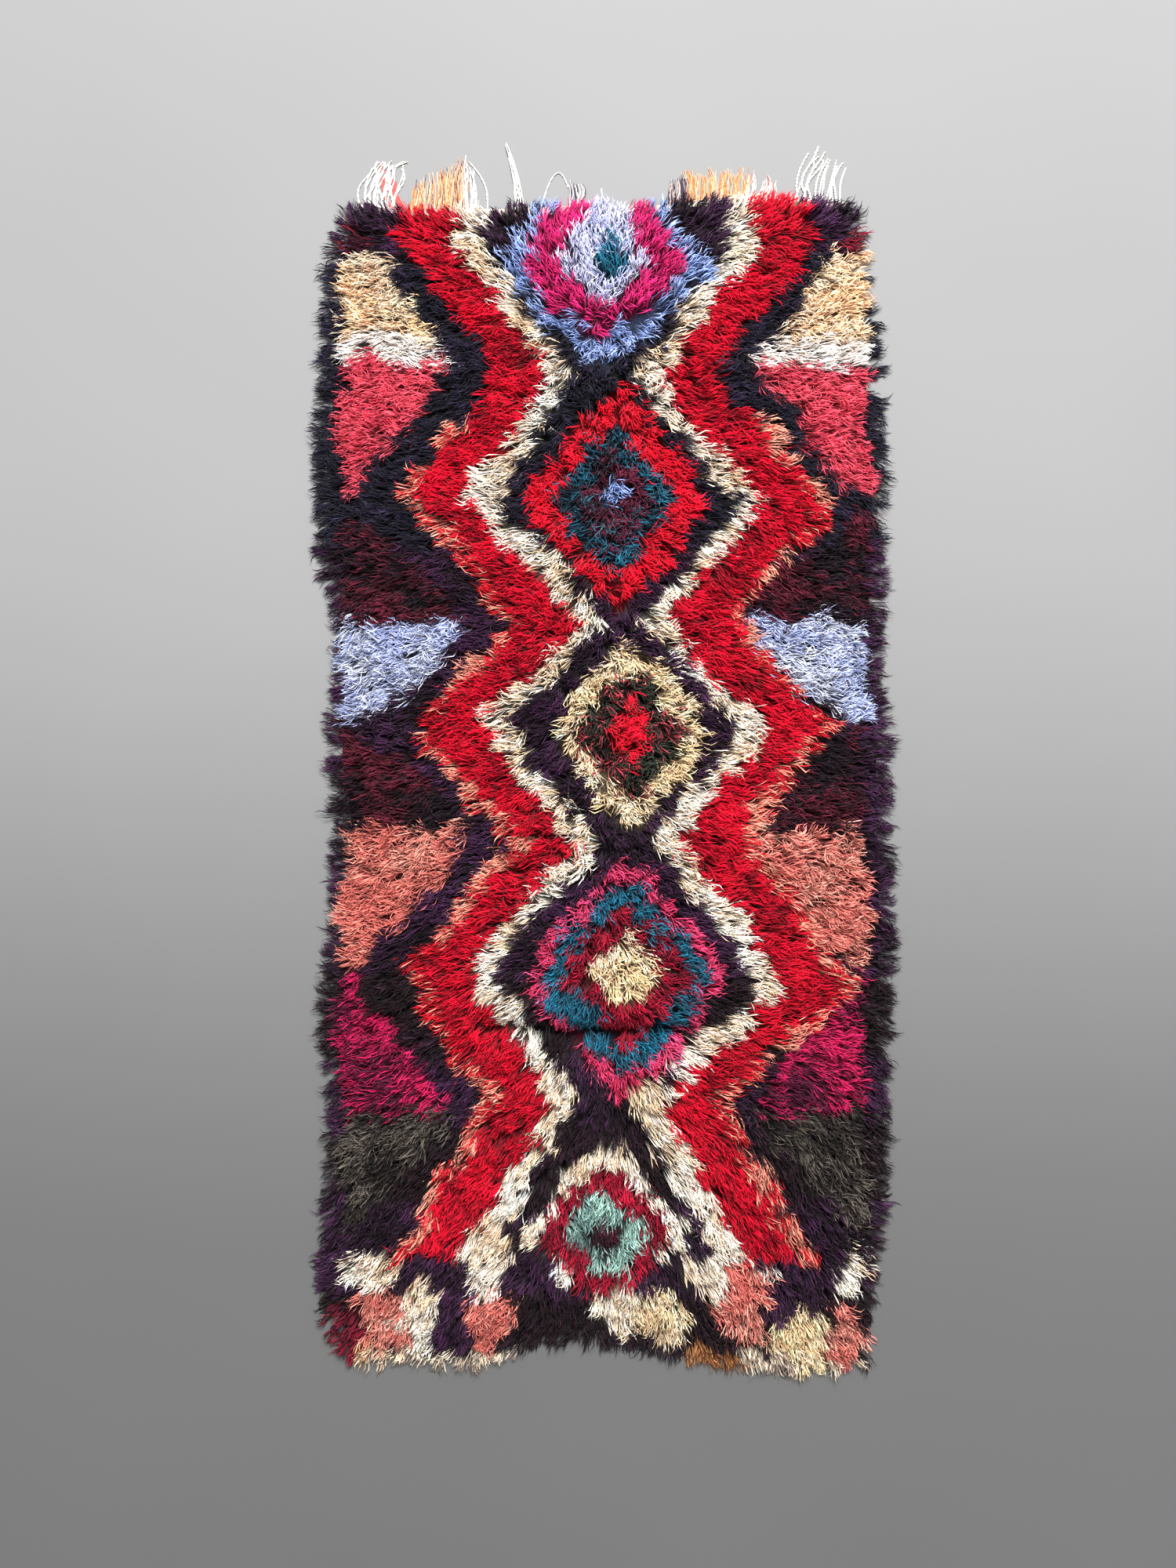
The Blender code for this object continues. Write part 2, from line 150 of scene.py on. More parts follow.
@dataclass(frozen=True)
class RugForm:
    """Outline and surface of the lying rug, measured from the middle of its pile."""

    shift: tuple[float, float] = (-0.0005457, -0.0470144)
    pile_height: float = 0.030
    rim_height: float = 0.0145
    shoulder: float = 0.075
    tuft_size: float = 0.056
    tuft_height: float = 0.0100
    wave_size: float = 0.33
    wave_height: float = 0.0035
    lock_size: float = 0.022
    lock_height: float = 0.0035
    lip_height: float = 0.004
    lip_width: float = 0.014
    groove_depth: float = 0.016
    groove_width: float = 0.011
    fold_fade: float = 1.25
    crease_fade: float = 1.6
    trough_distance: float = 2.0
    rim_tuft_share: float = 0.25
    tip_height: float = 0.0035
    fringe_tip_height: float = 0.0068
    reach_side: float = 0.036
    reach_bottom: float = 0.032
    reach_top: float = 0.021
    side_outline: tuple[tuple[float, float, float], ...] = (
        (1.072, -0.488, 0.482), (0.973, -0.518, 0.492), (0.770, -0.535, 0.518),
        (0.581, -0.542, 0.530), (0.436, -0.541, 0.525), (0.349, -0.512, 0.525),
        (0.219, -0.506, 0.518), (0.059, -0.519, 0.538), (-0.071, -0.503, 0.535),
        (-0.260, -0.515, 0.544), (-0.434, -0.534, 0.538), (-0.579, -0.519, 0.535),
        (-0.753, -0.532, 0.530), (-0.898, -0.542, 0.516), (-1.079, -0.499, 0.500),
    )
    end_outline: tuple[tuple[float, float, float], ...] = (
        (-0.499, -1.083, 1.070), (-0.436, -1.074, 1.078), (-0.349, -1.074, 1.068),
        (-0.276, -1.086, 1.070), (-0.190, -1.069, 1.070), (-0.103, -1.040, 1.074),
        (-0.016, -1.037, 1.078), (0.042, -1.045, 1.074), (0.115, -1.060, 1.078),
        (0.187, -1.074, 1.089), (0.260, -1.083, 1.094), (0.332, -1.095, 1.090),
        (0.405, -1.096, 1.088), (0.470, -1.086, 1.080), (0.500, -1.079, 1.070),
    )
    # Left end, right end, along, sag, height, depth, spread up, spread down
    folds: tuple[tuple[float, ...], ...] = (
        (-0.290, 0.285, -0.402, 0.012, 0.017, 0.009, 0.060, 0.024),
        (-0.560, -0.300, -0.385, 0.006, 0.005, 0.003, 0.050, 0.030),
        (0.300, 0.560, -0.352, 0.010, 0.006, 0.004, 0.050, 0.030),
        (-0.330, 0.060, -0.990, 0.010, 0.006, 0.004, 0.055, 0.040),
    )

    def read(self, rows: tuple, column: int, at: Points) -> Points:
        """Read one column of an outline between its rows.

        Args:
            rows: the outline's rows.
            column: the column to read.
            at: places along the first column.

        Returns:
            The column's values there.
        """
        table = np.array(sorted(rows))
        after = np.clip(np.searchsorted(table[:, 0], at), 1, len(table) - 1)
        low, high = table[after - 1], table[after]
        share = ease((at - low[:, 0]) / (high[:, 0] - low[:, 0]))
        return low[:, column] + (high[:, column] - low[:, column]) * share

    def place(self, u: Points, v: Points) -> tuple[Points, Points]:
        """Place points of the pile's ground inside the rim of locks.

        Args:
            u: shares across, from the left.
            v: shares along, from the bottom end.

        Returns:
            Places across and along, in metres.
        """
        first, last = self.side_outline[0][1:]
        across = first + (last - first) * u
        bottom = self.read(self.end_outline, 1, across) + self.reach_bottom
        top = self.read(self.end_outline, 2, across) - self.reach_top
        y = bottom + (top - bottom) * v
        left = self.read(self.side_outline, 1, y) + self.reach_side
        right = self.read(self.side_outline, 2, y) - self.reach_side
        return left + (right - left) * u, y

    def edges(self, x: Points, y: Points) -> tuple[Points, Points]:
        """Measure how far places lie inside the rim, and how far the nearest side's locks reach.

        Args:
            x: places across.
            y: places along.

        Returns:
            Distances, below zero outside, and the reach of the nearest side.
        """
        gaps = np.stack((
            x - self.read(self.side_outline, 1, y) - self.reach_side,
            self.read(self.side_outline, 2, y) - self.reach_side - x,
            y - self.read(self.end_outline, 1, x) - self.reach_bottom,
            self.read(self.end_outline, 2, x) - self.reach_top - y,
        ))
        reaches = np.array((self.reach_side, self.reach_side, self.reach_bottom, self.reach_top))
        nearest = np.argmin(gaps, axis=0)
        return np.min(gaps, axis=0), reaches[nearest]

    def fold_height(self, x: Points, y: Points) -> Points:
        """Add up the ridges and troughs of the cross folds.

        Args:
            x: places across.
            y: places along.

        Returns:
            How much higher the surface lies there.
        """
        total = np.zeros_like(x)
        for left, right, along, sag, height, depth, up, down in self.folds:
            share = (x - (left + right) / 2.0) / ((right - left) / 2.0)
            fade = ease(self.fold_fade * (1.0 - np.abs(share)))
            offset = y - (along - sag * (1.0 - share * share))
            above = height * np.exp(-((offset / up) ** 2))
            ridge = height * np.exp(-((offset / down) ** 2))
            trough = depth * np.exp(-(((offset + self.trough_distance * down) / down) ** 2))
            total += fade * np.where(offset >= 0.0, above, ridge - trough)
        return total

    def crease(self, x: Points, y: Points) -> tuple[Points, Points]:
        """Measure how far places lie from the sharp crease under the great fold.

        Args:
            x: places across.
            y: places along.

        Returns:
            Distances, below zero on the low side, and the crease's strength from 0 to 1.
        """
        left, right, along, sag, _, _, _, down = self.folds[0]
        share = (x - (left + right) / 2.0) / ((right - left) / 2.0)
        line = along - down - sag * (1.0 - share * share)
        return y - line, ease(self.crease_fade * (1.0 - np.abs(share)))

    def surface(self, x: Points, y: Points) -> Points:
        """Give the height of the pile's surface, down to the tips of the rim's locks.

        Args:
            x: places across.
            y: places along.

        Returns:
            Heights over the floor.
        """
        tufts = lumps(x, y, self.tuft_size, 1.7) * self.tuft_height
        waves = lumps(x, y, self.wave_size, 5.3) * self.wave_height
        locks = lumps(x, y, self.lock_size, 8.1) * self.lock_height
        distance, reach = self.edges(x, y)
        inside = ease(distance / self.shoulder)
        gap, strength = self.crease(x, y)
        lip = self.lip_height * np.exp(-(((gap - self.lip_width) / self.lip_width) ** 2))
        groove = self.groove_depth * np.exp(-(((gap + self.groove_width) / self.groove_width) ** 2))
        full = self.pile_height + tufts + waves + locks + self.fold_height(x, y)
        full = full + strength * np.where(gap > 0.0, lip, -groove)
        rim = self.rim_height + tufts * self.rim_tuft_share
        tip = np.where(reach == self.reach_top, self.fringe_tip_height, self.tip_height)
        outside = rim + (tip - rim) * np.clip(-distance / reach, 0.0, 1.0)
        return np.where(distance < 0.0, outside, rim + (full - rim) * inside)

    def to_world(self, x: Points, y: Points, z: Points) -> Points:
        """Put places of the pile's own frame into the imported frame, three numbers a row."""
        return np.stack((x + self.shift[0], y + self.shift[1], z), axis=-1)


# The dyes and the chart of the pattern


@dataclass(frozen=True)
class Dye:
    """One dyed yarn: its colour, how it varies, and how it lies."""

    colour: Colour
    fleck: Colour
    fleck_share: float = 0.15
    spread: float = 0.10
    curl: float = 0.12


class Yarn(Enum):
    """The yarns of the rug."""

    NAVY = Dye((27, 25, 38), (52, 40, 66), 0.20)
    DARK = Dye((28, 13, 18), (50, 27, 44), 0.22)
    PLUM = Dye((60, 30, 60), (30, 14, 26), 0.40, 0.16)
    AUBERGINE = Dye((86, 24, 40), (32, 17, 28), 0.55, 0.30)
    WINE = Dye((130, 22, 44), (60, 18, 36), 0.35)
    RED = Dye((214, 6, 42), (162, 2, 32), 0.32, 0.10, 0.20)
    SCARLET = Dye((246, 14, 46), (214, 24, 50), 0.20, 0.08, 0.35)
    CORAL = Dye((236, 82, 102), (212, 52, 78), 0.25, 0.10, 0.35)
    SALMON = Dye((222, 118, 108), (240, 162, 144), 0.32, 0.14, 0.50)
    EDGING = Dye((240, 156, 134), (206, 20, 40), 0.42)
    CREAM = Dye((254, 240, 224), (243, 210, 174), 0.32, 0.09)
    IVORY = Dye((255, 250, 244), (244, 222, 208), 0.20, 0.05)
    STRAW = Dye((249, 214, 168), (254, 234, 206), 0.38, 0.09, 0.40)
    PEACH = Dye((250, 198, 154), (254, 228, 198), 0.42, 0.10, 0.40)
    LAVENDER = Dye((176, 186, 228), (224, 228, 246), 0.38, 0.10, 0.45)
    LILAC = Dye((192, 194, 234), (226, 226, 248), 0.35, 0.09, 0.45)
    PERIWINKLE = Dye((134, 158, 216), (166, 182, 228), 0.30, 0.08, 0.25)
    MAGENTA = Dye((216, 36, 112), (184, 28, 96), 0.25, 0.09, 0.30)
    RASPBERRY = Dye((196, 26, 86), (84, 18, 50), 0.42, 0.12, 0.25)
    PINK = Dye((238, 72, 122), (214, 44, 90), 0.28, 0.09, 0.55)
    TEAL = Dye((28, 112, 142), (40, 84, 104), 0.30, 0.10, 0.60)
    PETROL = Dye((36, 98, 122), (26, 46, 62), 0.35, 0.12, 0.60)
    MINT = Dye((164, 202, 190), (116, 150, 146), 0.30, 0.12, 0.40)
    CRIMSON = Dye((172, 18, 50), (116, 12, 38), 0.30, 0.12, 0.50)
    GARNET = Dye((100, 22, 44), (46, 18, 28), 0.40)
    OLIVE = Dye((90, 82, 74), (40, 32, 32), 0.48, 0.22, 0.45)
    TAN = Dye((212, 166, 118), (240, 214, 184), 0.40)
    BROWN = Dye((150, 95, 55), (194, 134, 84), 0.40)
    THICKET = Dye((46, 50, 42), (176, 56, 70), 0.40, 0.50, 0.85)
    MEDLEY = Dye((92, 28, 50), (44, 86, 100), 0.36, 0.40, 0.80)
    GREY_CREAM = Dye((214, 198, 176), (150, 128, 118), 0.35, 0.15)


YARNS = tuple(Yarn)

# Turning points of the zigzags, in centimetres: along, inner edge of the cream
ZIGZAG_LEFT = (
    (110, -22), (99, -23), (75, -5), (53, -20), (29, 0), (11, -19), (-11, 0), (-34, -20), (-58, -5),
    (-88, -23),
)
ZIGZAG_RIGHT = (
    (110, 22), (98, 23), (74, 5), (51, 25), (30, 6), (11, 25), (-10, 9), (-37, 29), (-58, 5),
    (-88, 22),
)

# Courses of the ground from the fringed end down: yarn, where it ends along
GROUND_COURSES = (
    (Yarn.PLUM, 97), (Yarn.NAVY, 44), (Yarn.PLUM, -35), (Yarn.DARK, -50), (Yarn.PLUM, -63),
    (Yarn.DARK, -76), (Yarn.PLUM, -93), (Yarn.DARK, -105), (Yarn.GREY_CREAM, -120),
)

# Half diamonds at both sides: middle along, reach inwards, reach up, reach down, courses of yarn
# with where each ends along
SIDE_DIAMONDS = (
    (77, 20, 27, 25, ((Yarn.WINE, 98), (Yarn.PEACH, 82), (Yarn.IVORY, 77), (Yarn.CORAL, 50))),
    (30, 24, 20, 21, ((Yarn.AUBERGINE, 30), (Yarn.LAVENDER, 8))),
    (-8, 24, 20, 28, ((Yarn.AUBERGINE, -8), (Yarn.SALMON, -36))),
    (-60, 21, 26, 23, ((Yarn.RASPBERRY, -60), (Yarn.OLIVE, -84))),
)

# Diamonds between the zigzags: middle across, middle along, rings from the outermost in, each
# with its yarn, half width, reach up and reach down
DIAMONDS = (
    (0, 94, (
        (Yarn.PERIWINKLE, 19, 24, 17), (Yarn.MAGENTA, 15, 24, 12), (Yarn.LILAC, 8, 20, 7),
        (Yarn.TEAL, 3, 7, 3),
    )),
    (2, 52, (
        (Yarn.SCARLET, 17, 20, 21), (Yarn.PETROL, 11, 14, 15), (Yarn.MEDLEY, 8, 10, 10),
        (Yarn.PERIWINKLE, 3, 4, 2),
    )),
    (5, 9, (
        (Yarn.STRAW, 15, 17, 18), (Yarn.THICKET, 11, 12, 12), (Yarn.SCARLET, 5, 6, 6),
    )),
    (4, -35, (
        (Yarn.PINK, 19, 22, 24), (Yarn.TEAL, 16, 18, 19), (Yarn.CRIMSON, 12, 13, 14),
        (Yarn.STRAW, 7, 7, 7),
    )),
    (0, -82, (
        (Yarn.CREAM, 16, 17, 13), (Yarn.CRIMSON, 13, 13, 13), (Yarn.MINT, 8, 8, 8),
        (Yarn.GARNET, 3, 3, 4),
    )),
)

# Loose shapes of the last rows: yarn, middle across, middle along, half width, half height
LOOSE_SHAPES = (
    (Yarn.CREAM, -43, -89, 6, 4), (Yarn.SALMON, -41, -98, 9, 7), (Yarn.CREAM, -34, -98, 6, 8),
    (Yarn.PLUM, -27, -98, 5, 8), (Yarn.SALMON, -21, -97, 5, 9), (Yarn.CREAM, -21, -89, 5, 6),
    (Yarn.CREAM, 3, -96, 8, 5), (Yarn.STRAW, 10, -98, 6, 6), (Yarn.CREAM, 22, -90, 9, 5),
    (Yarn.SALMON, 26, -96, 6, 9), (Yarn.PLUM, 35, -96, 7, 6), (Yarn.CREAM, 46, -90, 4, 6),
    (Yarn.STRAW, 38, -102, 9, 6), (Yarn.SALMON, 45, -102, 4, 8), (Yarn.TAN, -43, -108, 10, 5),
    (Yarn.BROWN, 18, -108, 8, 6), (Yarn.WINE, -48, -101, 4, 7),
)


@dataclass(frozen=True)
class Chart:
    """The knotted pattern: zigzags, diamonds and half diamonds, as uneven as hand knotting."""

    cream_width: float = 0.050
    red_width: float = 0.095
    edging_width: float = 0.030
    edging_from: float = 0.66
    band_end: float = -0.875
    side_edge: float = 0.485
    roundness: float = 1.15
    unevenness: float = 0.022
    uneven_size: float = 0.075

    def in_diamond(self, across: Points, along: Points, half_width: float, up: float,
                   down: float) -> Points:
        """Say which places lie in a diamond.

        Args:
            across: places across from its middle, in metres.
            along: places along from its middle, in metres.
            half_width: its half width, in centimetres.
            up: its reach up from the middle, in centimetres.
            down: its reach down from the middle, in centimetres.

        Returns:
            True where a place lies in the diamond.
        """
        high = np.where(along > 0.0, up, down) * CENTIMETRE
        wide = np.abs(across) / (half_width * CENTIMETRE)
        return wide ** self.roundness + (np.abs(along) / high) ** self.roundness < 1.0

    def lay_courses(self, courses: tuple, y: Points, yarns: Points, where: Points) -> None:
        """Lay courses of yarn across the rug.

        Args:
            courses: the yarns from the fringed end down, with where each ends along.
            y: places along.
            yarns: each place's yarn, changed in place.
            where: the places that may change.
        """
        for yarn, end in reversed(courses):
            yarns[where & (y > end * CENTIMETRE)] = YARNS.index(yarn)

    def inner_edge(self, turns: tuple, y: Points) -> Points:
        """Read where a zigzag's cream begins.

        Args:
            turns: the zigzag's turning points, in centimetres.
            y: places along, in metres.

        Returns:
            Places across, in metres.
        """
        table = np.array(sorted(turns)) * CENTIMETRE
        return np.interp(y, table[:, 0], table[:, 1])

    def lay_band(self, outwards: Points, y: Points, yarns: Points) -> None:
        """Lay one zigzag.

        Args:
            outwards: each place's distance outwards from the zigzag's inner edge.
            y: places along.
            yarns: each place's yarn, changed in place.
        """
        edging = np.where(y < self.edging_from, self.edging_width, 0.0)
        red_end = self.cream_width + self.red_width
        band = (outwards > 0.0) & (y > self.band_end)
        yarns[band & (outwards < red_end + edging)] = YARNS.index(Yarn.EDGING)
        yarns[band & (outwards < red_end)] = YARNS.index(Yarn.RED)
        yarns[band & (outwards < self.cream_width)] = YARNS.index(Yarn.CREAM)

    def yarns_at(self, x: Points, y: Points) -> Points:
        """Look up the yarn at some places.

        Args:
            x: places across, in metres.
            y: places along, in metres.

        Returns:
            The yarn's place in YARNS, for each place.
        """
        x, y = (
            x + lumps(x, y, self.uneven_size, 21.3) * self.unevenness,
            y + lumps(x, y, self.uneven_size, 26.1) * self.unevenness,
        )
        everywhere = np.ones(x.shape, dtype=bool)
        yarns = np.zeros(x.shape, dtype=int)
        self.lay_courses(GROUND_COURSES, y, yarns, everywhere)
        inwards = self.side_edge - np.abs(x)
        for middle, reach, up, down, courses in SIDE_DIAMONDS:
            along = y - middle * CENTIMETRE
            where = (inwards > 0.0) & self.in_diamond(inwards, along, reach, up, down)
            self.lay_courses(courses, y, yarns, where)
        left = self.inner_edge(ZIGZAG_LEFT, y)
        right = self.inner_edge(ZIGZAG_RIGHT, y)
        self.lay_band(left - x, y, yarns)
        self.lay_band(x - right, y, yarns)
        between = (x > left) & (x < right)
        for middle_x, middle_y, rings in DIAMONDS:
            across, along = x - middle_x * CENTIMETRE, y - middle_y * CENTIMETRE
            for yarn, half_width, up, down in rings:
                where = between & self.in_diamond(across, along, half_width, up, down)
                yarns[where] = YARNS.index(yarn)
        for yarn, middle_x, middle_y, half_width, half_height in LOOSE_SHAPES:
            across, along = x - middle_x * CENTIMETRE, y - middle_y * CENTIMETRE
            where = self.in_diamond(across, along, half_width, half_height, half_height)
            yarns[where] = YARNS.index(yarn)
        return yarns


# Finishes


class NodeTree:
    """Adds nodes to a tree and links them."""

    def __init__(self, tree: bpy.types.NodeTree) -> None:
        """Keep the tree."""
        self.tree = tree

    def add(self, kind: str, values: dict | None = None, **settings) -> bpy.types.Node:
        """Add a node.

        Args:
            kind: the node's type.
            values: what its sockets get, a value or a socket to link, by name or number.
            **settings: the node's own settings.

        Returns:
            The node.
        """
        node = self.tree.nodes.new(kind)
        for name, value in settings.items():
            setattr(node, name, value)
        for name, value in (values or {}).items():
            if isinstance(value, bpy.types.NodeSocket):
                self.tree.links.new(value, node.inputs[name])
            else:
                node.inputs[name].default_value = value
        return node


def start_material(name: str, roughness: float, sheen: float, specular: float = 0.12,
                   ) -> tuple[bpy.types.Material, NodeTree, bpy.types.Node]:
    """Start a cloth material.

    Args:
        name: its name.
        roughness: the shader's roughness.
        sheen: how much soft sheen the fibres give.
        specular: the shader's specular level.

    Returns:
        The material, its node adder and its shader.
    """
    material = bpy.data.materials.new(name)
    material.use_nodes = True
    shader = material.node_tree.nodes["Principled BSDF"]
    shader.inputs["Roughness"].default_value = roughness
    shader.inputs["Sheen Weight"].default_value = sheen
    shader.inputs["Sheen Roughness"].default_value = 0.5
    shader.inputs["Specular IOR Level"].default_value = specular
    return material, NodeTree(material.node_tree), shader


@dataclass(frozen=True)
class YarnFinish:
    """Wool yarn in its own dyed colour, with painted shadow darkening its root and painted light
    brightening its tip, and fine fibres.
    """

    name: str
    # Painted shadow at each strand's root and painted light at its tip, as shares of its colour
    root_painted_shadow: float = 0.46
    tip_painted_light: float = 1.15
    fibre_scale: float = 420.0
    fibre_contrast: float = 0.16
    bump: float = 0.35
    bump_depth: float = 0.0006
    roughness: float = 0.90
    sheen: float = 0.04

    def material(self) -> bpy.types.Material:
        """Make the finish's material.

        Returns:
            The material.
        """
        material, nodes, shader = start_material(self.name, self.roughness, self.sheen)
        colour = nodes.add("ShaderNodeAttribute", attribute_name="yarn_colour")
        along = nodes.add("ShaderNodeAttribute", attribute_name="along")
        # Painted shading along each strand: dark at the root, where the pile's shadow lies, brighter at
        # the tip
        painted_shading = nodes.add("ShaderNodeMapRange", {
            "Value": along.outputs["Fac"], "To Min": self.root_painted_shadow, "To Max": self.tip_painted_light,
        })
        place = nodes.add("ShaderNodeTexCoord")
        fibres = nodes.add("ShaderNodeTexNoise", {
            "Vector": place.outputs["Object"], "Scale": self.fibre_scale, "Detail": 3.0,
            "Roughness": 0.65,
        })
        flecks = nodes.add("ShaderNodeMapRange", {
            "Value": fibres.outputs["Fac"], "From Min": 0.3, "From Max": 0.7,
            "To Min": 1.0 - self.fibre_contrast, "To Max": 1.0 + self.fibre_contrast,
        })
        both = nodes.add("ShaderNodeMath", {
            0: painted_shading.outputs["Result"], 1: flecks.outputs["Result"],
        }, operation="MULTIPLY")
        painted = nodes.add("ShaderNodeVectorMath", {
            "Vector": colour.outputs["Color"], "Scale": both.outputs["Value"],
        }, operation="SCALE")
        relief = nodes.add("ShaderNodeBump", {
            "Strength": self.bump, "Distance": self.bump_depth, "Height": fibres.outputs["Fac"],
        })
        nodes.tree.links.new(painted.outputs["Vector"], shader.inputs["Base Color"])
        nodes.tree.links.new(relief.outputs["Normal"], shader.inputs["Normal"])
        return material


@dataclass(frozen=True)
class WovenFinish:
    """A ribbed woven ground with the pattern's yarns showing in its knots, and painted shading that
    darkens the grooves of its weave.
    """

    name: str
    rib_pitch: float = 0.0065
    warp_pitch: float = 0.0040
    bump: float = 0.8
    bump_depth: float = 0.0015
    roughness: float = 0.92
    sheen: float = 0.15

    def material(self) -> bpy.types.Material:
        """Make the finish's material.

        Returns:
            The material.
        """
        material, nodes, shader = start_material(self.name, self.roughness, self.sheen)
        colour = nodes.add("ShaderNodeAttribute", attribute_name="yarn_colour")
        place = nodes.add("ShaderNodeTexCoord")
        ribs = nodes.add("ShaderNodeTexWave", {
            "Vector": place.outputs["Object"], "Scale": 0.314 / self.rib_pitch,
            "Distortion": 2.0, "Detail": 2.0, "Detail Scale": 3.0,
        }, bands_direction="Y")
        warps = nodes.add("ShaderNodeTexWave", {
            "Vector": place.outputs["Object"], "Scale": 0.314 / self.warp_pitch,
            "Distortion": 1.5, "Detail": 1.0,
        }, bands_direction="X")
        weave = nodes.add("ShaderNodeMath", {
            0: ribs.outputs["Fac"], 1: warps.outputs["Fac"],
        }, operation="MULTIPLY")
        # Painted shading: the yarn's colour darkened in the weave's grooves and brightened on its ribs,
        # following the bump
        painted_shading = nodes.add("ShaderNodeMapRange", {
            "Value": weave.outputs["Value"], "To Min": 0.55, "To Max": 1.1,
        })
        painted = nodes.add("ShaderNodeVectorMath", {
            "Vector": colour.outputs["Color"], "Scale": painted_shading.outputs["Result"],
        }, operation="SCALE")
        relief = nodes.add("ShaderNodeBump", {
            "Strength": self.bump, "Distance": self.bump_depth, "Height": weave.outputs["Value"],
        })
        nodes.tree.links.new(painted.outputs["Vector"], shader.inputs["Base Color"])
        nodes.tree.links.new(relief.outputs["Normal"], shader.inputs["Normal"])
        return material


@dataclass(frozen=True)
class FloorFinish:
    """A plain pale floor with painted light and shadow, lighter past the fringed end and darker towards
    the other, with the faintest cloudiness.
    """

    name: str = "pale_floor"
    # Painted light and shadow: the floor's grey at the fringed end and at the other end
    light: float = 0.225
    dark: float = 0.112
    painted_light_from: float = 0.50
    painted_shadow_until: float = -1.00
    cloudiness: float = 0.05
    cloud_scale: float = 1.3
    roughness: float = 0.75

    def material(self) -> bpy.types.Material:
        """Build the floor's material.

        Returns:
            The material.
        """
        material, nodes, shader = start_material(self.name, self.roughness, 0.0)
        place = nodes.add("ShaderNodeTexCoord")
        along = nodes.add("ShaderNodeSeparateXYZ", {"Vector": place.outputs["Object"]})
        # Painted light and shadow: the grey fades from dark past the bottom end to light past the fringed
        # end
        fade = nodes.add("ShaderNodeMapRange", {
            "Value": along.outputs["Y"], "From Min": self.painted_shadow_until,
            "From Max": self.painted_light_from, "To Min": self.dark, "To Max": self.light,
        }, interpolation_type="SMOOTHSTEP")
        clouds = nodes.add("ShaderNodeTexNoise", {
            "Vector": place.outputs["Object"], "Scale": self.cloud_scale,
        })
        cloud = nodes.add("ShaderNodeMapRange", {
            "Value": clouds.outputs["Fac"], "To Min": 1.0 - self.cloudiness,
            "To Max": 1.0 + self.cloudiness,
        })
        tone = nodes.add("ShaderNodeMath", {
            0: fade.outputs["Result"], 1: cloud.outputs["Result"],
        }, operation="MULTIPLY")
        grey = nodes.add("ShaderNodeCombineXYZ", {
            axis: tone.outputs["Value"] for axis in "XYZ"
        })
        nodes.tree.links.new(grey.outputs["Vector"], shader.inputs["Base Color"])
        return material


# The pile


@dataclass(frozen=True)
class StrandShapes:
    """The few shapes that every strand of the pile takes, with one bend or with two."""

    straight: int = 8
    curly: int = 6
    thickness: float = 0.00102
    sway: float = 0.0050
    curl: float = 0.0060
    straight_stations: tuple[float, ...] = (0.0, 0.78, 1.0)
    curly_stations: tuple[float, ...] = (0.0, 0.42, 0.82, 1.0)
    narrowing: float = 0.12

    @property
    def count(self) -> int:
        """Number of shapes."""
        return self.straight + self.curly

    def stations(self, curly: bool) -> tuple[float, ...]:
        """Places of a shape's points and rings along its length."""
        return self.curly_stations if curly else self.straight_stations

    def faces(self, curly: bool) -> list[tuple[int, ...]]:
        """List a shape's faces, side by side and each side from root to tip.

        Args:
            curly: whether the shape has two rings or one.

        Returns:
            The faces as numbers of points.
        """
        rings = len(self.stations(curly)) - 2
        tip = 3 * rings + 1
        faces = []
        for side in range(3):
            near, far = 1 + side, 1 + (side + 1) % 3
            faces.append((0, far, near))
            for ring in range(rings - 1):
                low = 3 * ring
                faces.append((near + low, far + low, far + low + 3, near + low + 3))
            low = 3 * (rings - 1)
            faces.append((near + low, far + low, tip))
        return faces

    def mesh(self, index: int) -> bpy.types.Mesh:
        """Make one shape, one metre long, as wide as a real strand.

        Args:
            index: which shape.

        Returns:
            A closed spindle: a point, one or two rings of three, and a point.
        """
        maker = np.random.default_rng(SEED + index)
        curly = index >= self.straight
        size = self.curl if curly else self.sway
        stations = self.stations(curly)
        sideways = maker.uniform(-1.0, 1.0, 4) * size
        upward = maker.uniform(-0.2, 1.0, 4) * size
        corners = [(0.0, 0.0, 0.0)]
        for ring in range(1, len(stations) - 1):
            wide = self.thickness * (1.0 - self.narrowing * (ring - 1))
            for corner in range(3):
                angle = math.tau * corner / 3.0 + ring
                corners.append((
                    stations[ring],
                    sideways[ring] + math.cos(angle) * wide,
                    upward[ring] + math.sin(angle) * wide,
                ))
        corners.append((1.0, sideways[3] * 1.4, upward[3] * 0.3))
        faces = self.faces(curly)
        mesh = bpy.data.meshes.new(f"strand_{index:02d}")
        mesh.from_pydata(corners, [], faces)
        mesh.polygons.foreach_set("use_smooth", [True] * len(faces))
        along = mesh.attributes.new("along", "FLOAT", "POINT")
        along.data.foreach_set("value", [corner[0] for corner in corners])
        return mesh

    def unrolled(self, curly: bool) -> Points:
        """Unroll a shape into its cell of the map named OFBake.

        Args:
            curly: whether the shape has two rings or one.

        Returns:
            Places from 0 to 1, two numbers for each corner of each face.
        """
        stations = self.stations(curly)
        faces = self.faces(curly)
        each = len(faces) // 3
        places = []
        for number, face in enumerate(faces):
            side = number // each
            for corner in face:
                ring = 0 if corner == 0 else (corner - 1) // 3 + 1
                across = 0.5
                if 0 < ring < len(stations) - 1:
                    across = 0.0 if (corner - 1) % 3 == side else 1.0
                places.append(((side + across) / 3.0, stations[ring]))
        return np.array(places)

    def collection(self) -> bpy.types.Collection:
        """Gather the shapes in a collection that the scene doesn't show.

        Returns:
            The collection.
        """
        shapes = bpy.data.collections.new("strand_shapes")
        for index in range(self.count):
            mesh = self.mesh(index)
            shapes.objects.link(bpy.data.objects.new(mesh.name, mesh))
        return shapes


